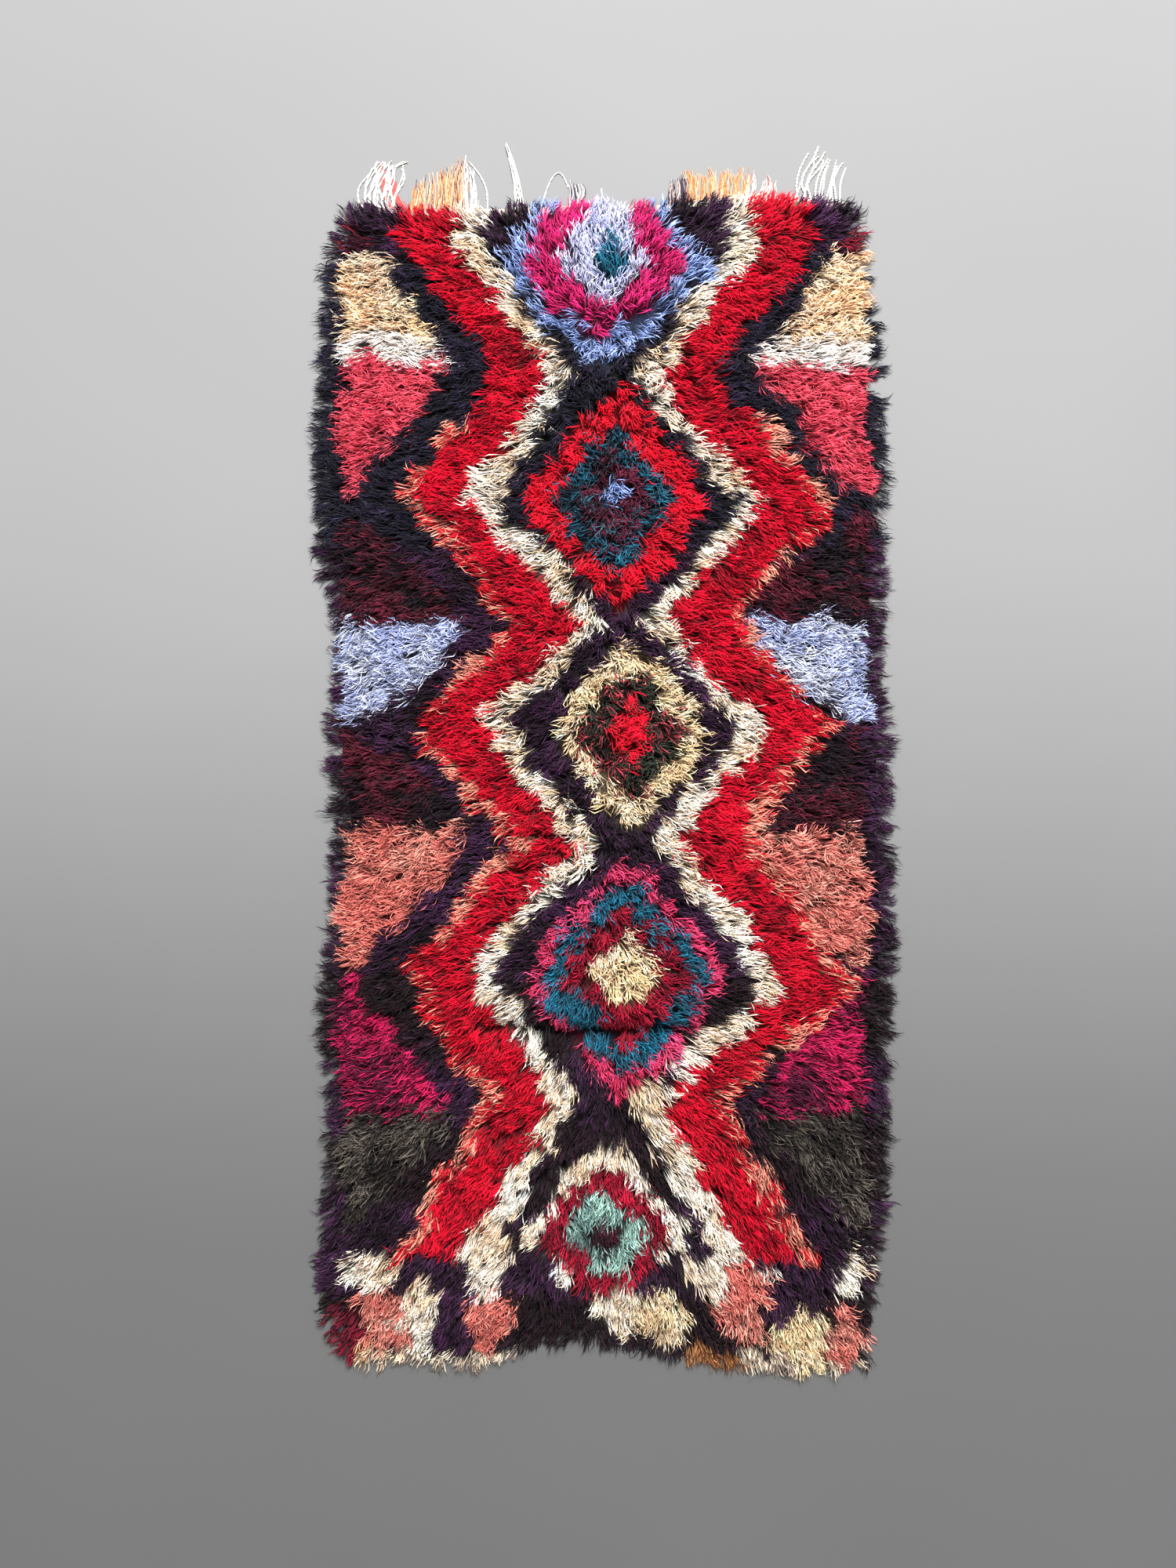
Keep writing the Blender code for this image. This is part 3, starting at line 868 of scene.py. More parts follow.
@dataclass(frozen=True)
class StrandScatter:
    """Geometry nodes that stand one strand shape on each root point."""

    length: float = 1.0
    thickness: float = 1.0
    unevenness: float = 0.34
    seed: int = SEED

    def tree(self) -> bpy.types.NodeTree:
        """Build the node tree, with named inputs for its sizes.

        Returns:
            The tree, ending in realized strands with their material.
        """
        group = bpy.data.node_groups.new("pile_strands", "GeometryNodeTree")
        for name, kind, out in (
            ("Roots", "Geometry", "INPUT"), ("Strand shapes", "Collection", "INPUT"),
            ("Length", "Float", "INPUT"), ("Thickness", "Float", "INPUT"),
            ("Unevenness", "Float", "INPUT"), ("Seed", "Int", "INPUT"),
            ("Wool", "Material", "INPUT"), ("Pile", "Geometry", "OUTPUT"),
        ):
            group.interface.new_socket(name, in_out=out, socket_type=f"NodeSocket{kind}")
        nodes = NodeTree(group)
        given = nodes.add("NodeGroupInput").outputs
        turn = nodes.add("GeometryNodeInputNamedAttribute", {"Name": "turn"},
                         data_type="FLOAT_VECTOR")
        span = nodes.add("GeometryNodeInputNamedAttribute", {"Name": "span"}, data_type="FLOAT")
        shape = nodes.add("GeometryNodeInputNamedAttribute", {"Name": "shape"}, data_type="INT")
        rotation = nodes.add("FunctionNodeEulerToRotation", {"Euler": turn.outputs["Attribute"]})
        thin = nodes.add("ShaderNodeMath", {0: 1.0, 1: given["Unevenness"]}, operation="SUBTRACT")
        thick = nodes.add("ShaderNodeMath", {0: 1.0, 1: given["Unevenness"]}, operation="ADD")
        vary = nodes.add("FunctionNodeRandomValue", {
            2: thin.outputs["Value"], 3: thick.outputs["Value"], "Seed": given["Seed"],
        }, data_type="FLOAT")
        wide = nodes.add("ShaderNodeMath", {0: given["Thickness"], 1: vary.outputs[1]},
                         operation="MULTIPLY")
        long = nodes.add("ShaderNodeMath", {0: given["Length"], 1: span.outputs["Attribute"]},
                         operation="MULTIPLY")
        size = nodes.add("ShaderNodeCombineXYZ", {
            "X": long.outputs["Value"], "Y": wide.outputs["Value"], "Z": wide.outputs["Value"],
        })
        shapes = nodes.add("GeometryNodeCollectionInfo", {
            "Collection": given["Strand shapes"], "Separate Children": True,
            "Reset Children": True,
        })
        placed = nodes.add("GeometryNodeInstanceOnPoints", {
            "Points": given["Roots"], "Instance": shapes.outputs["Instances"],
            "Pick Instance": True, "Instance Index": shape.outputs["Attribute"],
            "Rotation": rotation.outputs["Rotation"], "Scale": size.outputs["Vector"],
        })
        real = nodes.add("GeometryNodeRealizeInstances", {
            "Geometry": placed.outputs["Instances"],
        })
        dressed = nodes.add("GeometryNodeSetMaterial", {
            "Geometry": real.outputs["Geometry"], "Material": given["Wool"],
        })
        nodes.add("NodeGroupOutput", {"Pile": dressed.outputs["Geometry"]})
        return group


def grow_mesh(name: str, carrier: bpy.types.Mesh, tree: bpy.types.NodeTree,
              inputs: dict) -> bpy.types.Mesh:
    """Run a node tree on a carrier mesh and keep what it makes.

    Args:
        name: the new mesh's name.
        carrier: the points or lines that the tree starts from.
        tree: the node tree.
        inputs: what its named inputs get.

    Returns:
        The plain mesh that the tree makes.
    """
    holder = bpy.data.objects.new(name + "_carrier", carrier)
    bpy.context.scene.collection.objects.link(holder)
    modifier = holder.modifiers.new("grow", "NODES")
    modifier.node_group = tree
    for socket in tree.interface.items_tree:
        if socket.in_out == "INPUT" and socket.name in inputs:
            modifier[socket.identifier] = inputs[socket.name]
    graph = bpy.context.evaluated_depsgraph_get()
    mesh = bpy.data.meshes.new_from_object(holder.evaluated_get(graph))
    mesh.name = name
    holder.modifiers.remove(modifier)
    bpy.data.objects.remove(holder, do_unlink=True)
    bpy.data.meshes.remove(carrier)
    return mesh


@dataclass
class Pile:
    """The knotted wool pile: strands in small clumps, laid outwards from the middle line."""

    form: RugForm
    chart: Chart
    row_pitch: float = 0.0130
    knot_pitch: float = 0.0152
    strands: int = 11
    strand_length: float = 0.047
    curly_length: float = 0.034
    length_spread: float = 0.20
    knot_jitter: float = 0.38
    root_spread: float = 0.0070
    tip_spread: float = 0.0024
    tip_gather: float = 0.32
    depth: float = 0.016
    lift: float = 0.0028
    lowest: float = 0.0022
    floor_gap: float = 0.0004
    tallest: float = 0.0605
    knot_lift: float = 0.0036
    stray: float = 0.13
    calm: float = 0.45
    crease_pull: float = 0.9
    crease_reach: float = 0.050
    visible_share: float = 0.68
    border_size: float = 0.020
    border_shift: float = 0.0135
    pieces: int = 6
    shapes: StrandShapes = field(default_factory=StrandShapes)
    scatter: StrandScatter = field(default_factory=StrandScatter)
    # Its colours carry painted shadow at each strand's root and painted light at its tip
    finish: YarnFinish = field(default_factory=lambda: YarnFinish("wool_pile"))

    def headings(self, x: Points, y: Points) -> tuple[Points, Points]:
        """Give the direction in which the pile lies, and how loosely.

        Args:
            x: places across.
            y: places along.

        Returns:
            Angles in radians, anticlockwise from +X, and looseness from 1 to 3.
        """
        side = np.abs(x)
        outwards = np.clip(x / 0.18, -1.0, 1.0) * (1.0 + 0.7 * ease((side - 0.28) / 0.20))
        down = -0.26 - 0.95 * ease((-0.42 - y) / 0.34) - 1.7 * ease((-0.82 - y) / 0.18)
        middle = 1.0 - ease((side - 0.13) / 0.10)
        up = 2.2 * ease((y - 0.99) / 0.08) + 1.1 * middle * ease((y - 0.80) / 0.16)
        gap, strength = self.form.crease(x, y)
        down = down - self.crease_pull * strength * np.exp(-((gap / self.crease_reach) ** 2))
        loose = 1.0 + 2.0 * np.exp(-(np.hypot(down + up, outwards) / self.calm) ** 2)
        wander = lumps(x, y, 0.30, 2.9) * 0.45 + lumps(x, y, 0.055, 4.4) * 0.55
        return np.arctan2(down + up, outwards) + wander * (0.65 + 0.35 * loose), loose

    def knots(self, maker: np.random.Generator) -> dict[str, Points]:
        """Lay out the knots in rows across the rug.

        Args:
            maker: the source of all that is uneven.

        Returns:
            Each knot's place, heading, reach and yarn.
        """
        form = self.form
        length = form.side_outline[0][0] - form.side_outline[-1][0]
        width = form.side_outline[0][2] - form.side_outline[0][1]
        rows = round(length / self.row_pitch)
        columns = round(width / self.knot_pitch)
        row, column = np.mgrid[0:rows, 0:columns].reshape(2, -1).astype(float)
        column += 0.5 * (row % 2) - 0.25
        count = len(row)
        jitter = maker.uniform(-self.knot_jitter, self.knot_jitter, (2, count))
        u = (column + 0.5 + jitter[0]) / columns
        v = (row + 0.5 + jitter[1]) / rows
        x, y = form.place(u, v)
        heading, loose = self.headings(x, y)
        heading = heading + maker.normal(0.0, 0.22, count) * loose ** 1.6
        distance, reach = form.edges(x, y)
        first_look = self.chart.yarns_at(
            x + np.cos(heading) * self.strand_length * self.visible_share,
            y + np.sin(heading) * self.strand_length * self.visible_share,
        )
        curl = np.array([yarn.value.curl for yarn in YARNS])[first_look]
        full = self.strand_length + (self.curly_length - self.strand_length) * curl
        full *= 1.0 + maker.uniform(-self.length_spread, self.length_spread, count)
        full *= 1.0 - 0.16 * (loose - 1.0)
        heading = heading + maker.normal(0.0, 0.7, count) * curl
        room = distance + reach * maker.uniform(0.85, 1.45, count)
        gap, strength = form.crease(x, y)
        slope = np.maximum(-np.sin(heading), 0.02)
        above = (gap > 0.0) & (strength > 0.3)
        room = np.minimum(room, np.where(above, gap / slope + 0.007, np.inf))
        full = np.minimum(full, np.maximum(room, 0.012))
        seen_x = x + np.cos(heading) * full * self.visible_share
        seen_y = y + np.sin(heading) * full * self.visible_share
        seen_x += lumps(x, y, self.border_size, 11.3) * self.border_shift
        seen_y += lumps(x, y, self.border_size, 14.7) * self.border_shift
        return {
            "x": x, "y": y, "heading": heading, "reach": full,
            "yarn": self.chart.yarns_at(seen_x, seen_y), "loose": loose,
        }

    def colours(self, yarns: Points, maker: np.random.Generator, knot_tone: Points,
                batch: Points) -> Points:
        """Dye each strand.

        Args:
            yarns: each strand's yarn.
            maker: the source of all that is uneven.
            knot_tone: each strand's share of its knot's tone.
            batch: how far the dye batch differs there, from about -1 to 1.

        Returns:
            Scene colours, three numbers a row.
        """
        main = linear(np.array([yarn.value.colour for yarn in YARNS]))[yarns]
        fleck = linear(np.array([yarn.value.fleck for yarn in YARNS]))[yarns]
        share = np.array([yarn.value.fleck_share for yarn in YARNS])[yarns]
        spread = np.array([yarn.value.spread for yarn in YARNS])[yarns]
        flecked = maker.uniform(0.0, 1.0, len(yarns)) < share * (1.0 + 1.6 * batch)
        colour = np.where(flecked[:, None], fleck, main)
        tone = 1.0 + spread * (1.8 * knot_tone + maker.normal(0.0, 0.8, len(yarns)) - batch)
        return np.clip(colour * np.clip(tone, 0.4, 1.7)[:, None], 0.0, 1.0)

    def strand_rows(self) -> dict[str, Points]:
        """Work out every strand of the pile.

        Returns:
            Roots, turns, spans, shapes and colours, sorted along the rug.
        """
        maker = np.random.default_rng(SEED)
        knots = self.knots(maker)
        knot = np.repeat(np.arange(len(knots["x"])), self.strands)
        count = len(knot)
        angle = maker.uniform(0.0, math.tau, count)
        out = self.root_spread * np.sqrt(maker.uniform(0.0, 1.0, count))
        off_x, off_y = out * np.cos(angle), out * np.sin(angle)
        x, y = knots["x"][knot] + off_x, knots["y"][knot] + off_y
        yarns = knots["yarn"][knot]
        curl = np.array([yarn.value.curl for yarn in YARNS])[yarns]
        stray = self.stray + 0.30 * curl + 0.08 * (knots["loose"][knot] - 1.0)
        stray = maker.normal(0.0, 1.0, count) * stray
        heading = knots["heading"][knot] + stray
        reach = knots["reach"][knot] * (1.0 + maker.normal(0.0, 0.10, count))
        tip_x = knots["x"][knot] + np.cos(heading) * reach + off_x * self.tip_gather
        tip_y = knots["y"][knot] + np.sin(heading) * reach + off_y * self.tip_gather
        tip_x += maker.normal(0.0, self.tip_spread, count)
        tip_y += maker.normal(0.0, self.tip_spread, count)
        tip_z = self.form.surface(tip_x, tip_y) + maker.normal(-0.001, self.lift, count)
        tip_z += maker.normal(0.0, self.knot_lift, len(knots["x"]))[knot]
        tip_z = np.maximum(tip_z, self.lowest)
        root_z = np.maximum(self.form.surface(x, y) - self.depth, self.lowest)
        step = np.stack((tip_x - x, tip_y - y, tip_z - root_z), axis=1)
        span = np.linalg.norm(step, axis=1)
        turn = np.stack((
            maker.normal(0.0, 0.9, count),
            -np.arcsin(step[:, 2] / span),
            np.arctan2(step[:, 1], step[:, 0]),
        ), axis=1)
        curly = maker.uniform(0.0, 1.0, count) < curl
        shape = np.where(
            curly,
            self.shapes.straight + maker.integers(0, self.shapes.curly, count),
            maker.integers(0, self.shapes.straight, count),
        )
        tone = maker.normal(0.0, 1.0, len(knots["x"]))[knot]
        batch = lumps(knots["x"], knots["y"], 0.085, 17.9)[knot] * 1.6
        order = np.argsort(y, kind="stable")
        return {
            "root": self.form.to_world(x, y, root_z)[order], "turn": turn[order],
            "span": span[order], "shape": shape[order],
            "colour": self.colours(yarns, maker, tone, batch)[order],
        }

    def carrier(self, rows: dict[str, Points], part: slice) -> bpy.types.Mesh:
        """Make the point mesh that the node tree starts from.

        Args:
            rows: the strands.
            part: which of them.

        Returns:
            A mesh of root points with their attributes.
        """
        mesh = bpy.data.meshes.new("roots")
        roots = rows["root"][part]
        mesh.vertices.add(len(roots))
        mesh.vertices.foreach_set("co", roots.ravel())
        for name, kind, key in (
            ("turn", "FLOAT_VECTOR", "vector"), ("span", "FLOAT", "value"),
            ("shape", "INT", "value"),
        ):
            layer = mesh.attributes.new(name, kind, "POINT")
            layer.data.foreach_set(key, rows[name][part].ravel())
        paint_points(mesh, "yarn_colour", rows["colour"][part])
        return mesh

    def map_strands(self, mesh: bpy.types.Mesh, curly: Points) -> None:
        """Give each strand its own cell of the map named OFBake.

        Args:
            mesh: the realized strands.
            curly: for each strand, whether its shape has two rings.
        """
        single, double = self.shapes.unrolled(False), self.shapes.unrolled(True)
        corners = np.where(curly, len(double), len(single))
        strand = np.repeat(np.arange(len(curly)), corners)
        corner = np.arange(len(strand)) - (np.cumsum(corners) - corners)[strand]
        inside = np.where(
            curly[strand][:, None], double[corner], single[np.minimum(corner, len(single) - 1)]
        )
        cells = math.ceil(math.sqrt(len(curly)))
        origin = np.stack((strand % cells, strand // cells), axis=1)
        layer = mesh.uv_layers.new(name="OFBake")
        layer.uv.foreach_set("vector", ((origin + 0.06 + 0.88 * inside) / cells).ravel())

    def settle(self, mesh: bpy.types.Mesh) -> None:
        """Lift what hangs below the floor up to it, and press down what stands too high.

        Args:
            mesh: the realized strands.
        """
        places = np.empty(len(mesh.vertices) * 3)
        mesh.vertices.foreach_get("co", places)
        places = places.reshape(-1, 3)
        places[:, 2] = np.clip(places[:, 2], self.floor_gap, self.tallest)
        mesh.vertices.foreach_set("co", places.ravel())
        mesh.update()

    def build(self) -> list[bpy.types.Object]:
        """Grow the pile.

        Returns:
            Its pieces, bands of strands from the bottom end to the top end.
        """
        rows = self.strand_rows()
        count = len(rows["span"])
        tree = self.scatter.tree()
        shapes = self.shapes.collection()
        wool = self.finish.material()
        made = []
        bounds = np.linspace(0, count, self.pieces + 1).astype(int)
        for number, (start, end) in enumerate(zip(bounds, bounds[1:]), 1):
            name = f"pile_{number}"
            mesh = grow_mesh(name, self.carrier(rows, slice(start, end)), tree, {
                "Strand shapes": shapes, "Length": self.scatter.length,
                "Thickness": self.scatter.thickness, "Unevenness": self.scatter.unevenness,
                "Seed": self.scatter.seed + number, "Wool": wool,
            })
            self.settle(mesh)
            self.map_strands(mesh, rows["shape"][start:end] >= self.shapes.straight)
            made.append(add_piece(name, mesh, "rug"))
        for item in list(shapes.objects):
            bpy.data.meshes.remove(item.data)
        bpy.data.collections.remove(shapes)
        log.info("pile: %d strands", count)
        return made


# The undergrowth and the woven ground


def closed_sheet(name: str, top: Points, low: Points) -> bpy.types.Mesh:
    """Make a closed slab from a grid of points and the same grid lower down.

    Args:
        name: the mesh's name.
        top: rows of points, from the bottom end up and left to right.
        low: the same rows for the underside.

    Returns:
        The mesh, whose faces look outwards.
    """
    rows, columns = top.shape[:2]
    number = np.arange(rows * columns).reshape(rows, columns)
    quads = np.stack((
        number[:-1, :-1], number[:-1, 1:], number[1:, 1:], number[1:, :-1],
    ), axis=-1).reshape(-1, 4)
    ring = np.concatenate((
        number[0, :-1], number[:-1, -1], number[-1, :0:-1], number[:0:-1, 0],
    ))
    after = np.roll(ring, -1)
    under = rows * columns
    walls = np.stack((ring, ring + under, after + under, after), axis=-1)
    faces = np.concatenate((quads, quads[:, ::-1] + under, walls))
    mesh = bpy.data.meshes.new(name)
    mesh.from_pydata(
        np.concatenate((top.reshape(-1, 3), low.reshape(-1, 3))).tolist(), [], faces.tolist()
    )
    mesh.polygons.foreach_set("use_smooth", [True] * len(faces))
    return mesh


@dataclass
class ShadedUndergrowth:
    """The depth of the pile seen between its strands, painted dark as the pile's shadow."""

    form: RugForm
    chart: Chart
    columns: int = 60
    rows: int = 130
    depth: float = 0.0190
    underside: float = 0.0022
    # Painted shadow: the share of the pattern's colour left in the pile's dark depth
    painted_shading: float = 0.08
    finish: YarnFinish = field(default_factory=lambda: YarnFinish(
        "deep_wool", root_painted_shadow=1.0, tip_painted_light=1.0, fibre_contrast=0.9, bump=1.0,
        bump_depth=0.003, sheen=0.0,
    ))

    def build(self) -> bpy.types.Object:
        """Make the undergrowth as one closed lumpy slab.

        Returns:
            The piece.
        """
        u, v = np.meshgrid(np.linspace(0.0, 1.0, self.columns), np.linspace(0.0, 1.0, self.rows))
        x, y = self.form.place(u.ravel(), v.ravel())
        z = np.maximum(self.form.surface(x, y) - self.depth, self.underside + 0.0015)
        top = self.form.to_world(x, y, z).reshape(self.rows, self.columns, 3)
        low = top.copy()
        low[:, :, 2] = self.underside
        mesh = closed_sheet("undergrowth", top, low)
        yarns = self.chart.yarns_at(x, y)
        # Painted shadow: the pattern's colours darkened to stand for the shadow deep in the pile
        colour = linear(np.array([yarn.value.colour for yarn in YARNS]))[yarns] * self.painted_shading
        paint_points(mesh, "yarn_colour", np.concatenate((colour, colour)))
        mesh.materials.append(self.finish.material())
        return add_piece("undergrowth", mesh, "rug")


@dataclass
class WovenGround:
    """The thin woven ground that the knots sit in, with their backs on its underside."""

    form: RugForm
    chart: Chart
    columns: int = 58
    rows: int = 140
    thickness: float = 0.0019
    back_shade: float = 0.80
    flat_size: tuple[float, float] = (0.97, 2.10)
    finish: WovenFinish = field(default_factory=lambda: WovenFinish("woven_ground"))

    def build(self) -> bpy.types.Object:
        """Make the ground as one thin closed sheet, coloured knot by knot.

        Returns:
            The piece.
        """
        u, v = np.meshgrid(np.linspace(0.0, 1.0, self.columns), np.linspace(0.0, 1.0, self.rows))
        x, y = self.form.place(u.ravel(), v.ravel())
        low = self.form.to_world(x, y, np.zeros_like(x)).reshape(self.rows, self.columns, 3)
        top = low.copy()
        top[:, :, 2] = self.thickness
        mesh = closed_sheet("woven_ground", top, low)
        middles = np.empty(len(mesh.polygons) * 3)
        mesh.polygons.foreach_get("center", middles)
        middles = middles.reshape(-1, 3)
        yarns = self.chart.yarns_at(
            middles[:, 0] - self.form.shift[0], middles[:, 1] - self.form.shift[1]
        )
        maker = np.random.default_rng(SEED + 1)
        tone = 1.0 + maker.normal(0.0, 0.10, len(yarns))
        colour = linear(np.array([yarn.value.colour for yarn in YARNS]))[yarns]
        paint_points(
            mesh, "yarn_colour", np.clip(colour * (tone * self.back_shade)[:, None], 0.0, 1.0),
            "FACE",
        )
        mesh.materials.append(self.finish.material())
        return add_piece("woven_ground", mesh, "rug")


# The fringe


@dataclass(frozen=True)
class FringeRow:
    """One row of warps or tufts: where it roots, how it lies and what it is spun of."""

    first: float
    last: float
    strands: int
    reach_first: float
    reach_last: float
    uneven: float
    lean_first: float
    lean_last: float
    bow: float
    drop: float
    plies: int
    ply_radius: float
    lay_width: float
    splay: float
    twist: float
    curl: float
    dyes: tuple[Colour, ...]


WARP_WHITE: Colour = (240, 237, 231)
WARP_GREY: Colour = (208, 206, 203)
OLD_ROSE: Colour = (216, 96, 92)
BLUSH: Colour = (236, 206, 188)
RUST: Colour = (218, 134, 66)
HONEY: Colour = (238, 190, 140)
DUSK: Colour = (66, 48, 76)

FRINGE = (
    FringeRow(-0.4550, -0.3880, 16, 0.098, 0.106, 0.012, 0.030, 0.016, -0.007, 0.024,
              2, 0.00105, 0.0010, 0.0, 10.0, 1.6, (WARP_WHITE, WARP_WHITE, WARP_GREY)),
    FringeRow(-0.3980, -0.3600, 8, 0.084, 0.056, 0.008, -0.012, -0.006, -0.009, 0.0,
              3, 0.00085, 0.0013, 0.3, 4.0, 1.2, (WARP_WHITE, OLD_ROSE, BLUSH, OLD_ROSE)),
    FringeRow(-0.3590, -0.2560, 22, 0.050, 0.098, 0.009, 0.004, -0.001, 0.0015, 0.0,
              7, 0.00055, 0.0032, 0.5, 0.6, 0.7, (RUST, HONEY, RUST, HONEY, BLUSH, DUSK)),
    FringeRow(-0.2570, -0.2330, 3, 0.100, 0.080, 0.006, -0.010, -0.004, 0.0020, 0.0,
              5, 0.00090, 0.0024, -0.4, 2.0, 0.9, (WARP_WHITE, WARP_WHITE, WARP_GREY)),
    FringeRow(-0.2190, -0.2130, 1, 0.103, 0.103, 0.0, -0.034, -0.034, 0.0120, 0.012,
              2, 0.00105, 0.0010, 0.0, 8.0, 0.0, (WARP_WHITE,)),
    FringeRow(-0.1640, -0.1480, 1, 0.125, 0.125, 0.0, -0.026, -0.026, 0.0040, 0.0,
              11, 0.00095, 0.0085, -0.80, 0.5, 0.3, (WARP_WHITE, WARP_WHITE, WARP_GREY)),
    FringeRow(-0.1200, -0.1140, 1, 0.219, 0.219, 0.0, 0.050, 0.050, 0.0020, 0.179,
              2, 0.00095, 0.0009, 0.0, 16.0, 0.0, (WARP_WHITE,)),
    FringeRow(-0.0660, -0.0400, 4, 0.052, 0.044, 0.005, -0.002, 0.003, 0.0010, 0.0,
              4, 0.00075, 0.0016, 0.2, 2.0, 0.8, (WARP_GREY, WARP_WHITE, DUSK)),
    FringeRow(0.0110, 0.0170, 1, 0.036, 0.036, 0.0, -0.022, -0.022, -0.0030, 0.0,
              3, 0.00070, 0.0009, 0.0, 8.0, 0.6, (WARP_WHITE,)),
    FringeRow(0.1200, 0.1520, 7, 0.046, 0.058, 0.004, -0.003, -0.001, 0.0010, 0.0,
              9, 0.00060, 0.0032, 0.4, 0.4, 0.4, (DUSK, (48, 36, 56), DUSK, BLUSH)),
    FringeRow(0.1500, 0.2650, 22, 0.060, 0.050, 0.009, -0.001, 0.005, 0.0010, 0.0,
              7, 0.00055, 0.0032, 0.5, 0.6, 0.7, (RUST, HONEY, RUST, HONEY, BLUSH)),
    FringeRow(0.2640, 0.3160, 9, 0.048, 0.032, 0.008, 0.003, 0.006, 0.0020, 0.0,
              5, 0.00055, 0.0024, 0.5, 1.0, 0.8, (WARP_WHITE, OLD_ROSE, BLUSH, WARP_WHITE)),
    FringeRow(0.3480, 0.4380, 14, 0.092, 0.060, 0.013, 0.030, 0.030, -0.0060, 0.0,
              3, 0.00105, 0.0016, 0.0, 7.0, 1.8, (WARP_WHITE, WARP_WHITE, WARP_GREY)),
)


@dataclass(frozen=True)
class YarnTubes:
    """Geometry nodes that sweep a round yarn along drawn lines."""

    sides: int = 4

    def tree(self) -> bpy.types.NodeTree:
        """Build the node tree, with named inputs for its sizes.

        Returns:
            The tree, ending in plain tubes with their material.
        """
        group = bpy.data.node_groups.new("yarn_tubes", "GeometryNodeTree")
        for name, kind, out in (
            ("Lines", "Geometry", "INPUT"), ("Sides", "Int", "INPUT"),
            ("Thickness", "Float", "INPUT"), ("Yarn", "Material", "INPUT"),
            ("Tubes", "Geometry", "OUTPUT"),
        ):
            group.interface.new_socket(name, in_out=out, socket_type=f"NodeSocket{kind}")
        nodes = NodeTree(group)
        given = nodes.add("NodeGroupInput").outputs
        wide = nodes.add("GeometryNodeInputNamedAttribute", {"Name": "wide"}, data_type="FLOAT")
        radius = nodes.add("ShaderNodeMath", {
            0: given["Thickness"], 1: wide.outputs["Attribute"],
        }, operation="MULTIPLY")
        lines = nodes.add("GeometryNodeMeshToCurve", {"Mesh": given["Lines"]})
        section = nodes.add("GeometryNodeCurvePrimitiveCircle", {
            "Resolution": given["Sides"], "Radius": 1.0,
        }, mode="RADIUS")
        swept = nodes.add("GeometryNodeCurveToMesh", {
            "Curve": lines.outputs["Curve"], "Profile Curve": section.outputs["Curve"],
            "Scale": radius.outputs["Value"], "Fill Caps": True,
        })
        smooth = nodes.add("GeometryNodeSetShadeSmooth", {"Geometry": swept.outputs["Mesh"]})
        real = nodes.add("GeometryNodeRealizeInstances", {
            "Geometry": smooth.outputs["Geometry"],
        })
        dressed = nodes.add("GeometryNodeSetMaterial", {
            "Geometry": real.outputs["Geometry"], "Material": given["Yarn"],
        })
        nodes.add("NodeGroupOutput", {"Tubes": dressed.outputs["Geometry"]})
        return group


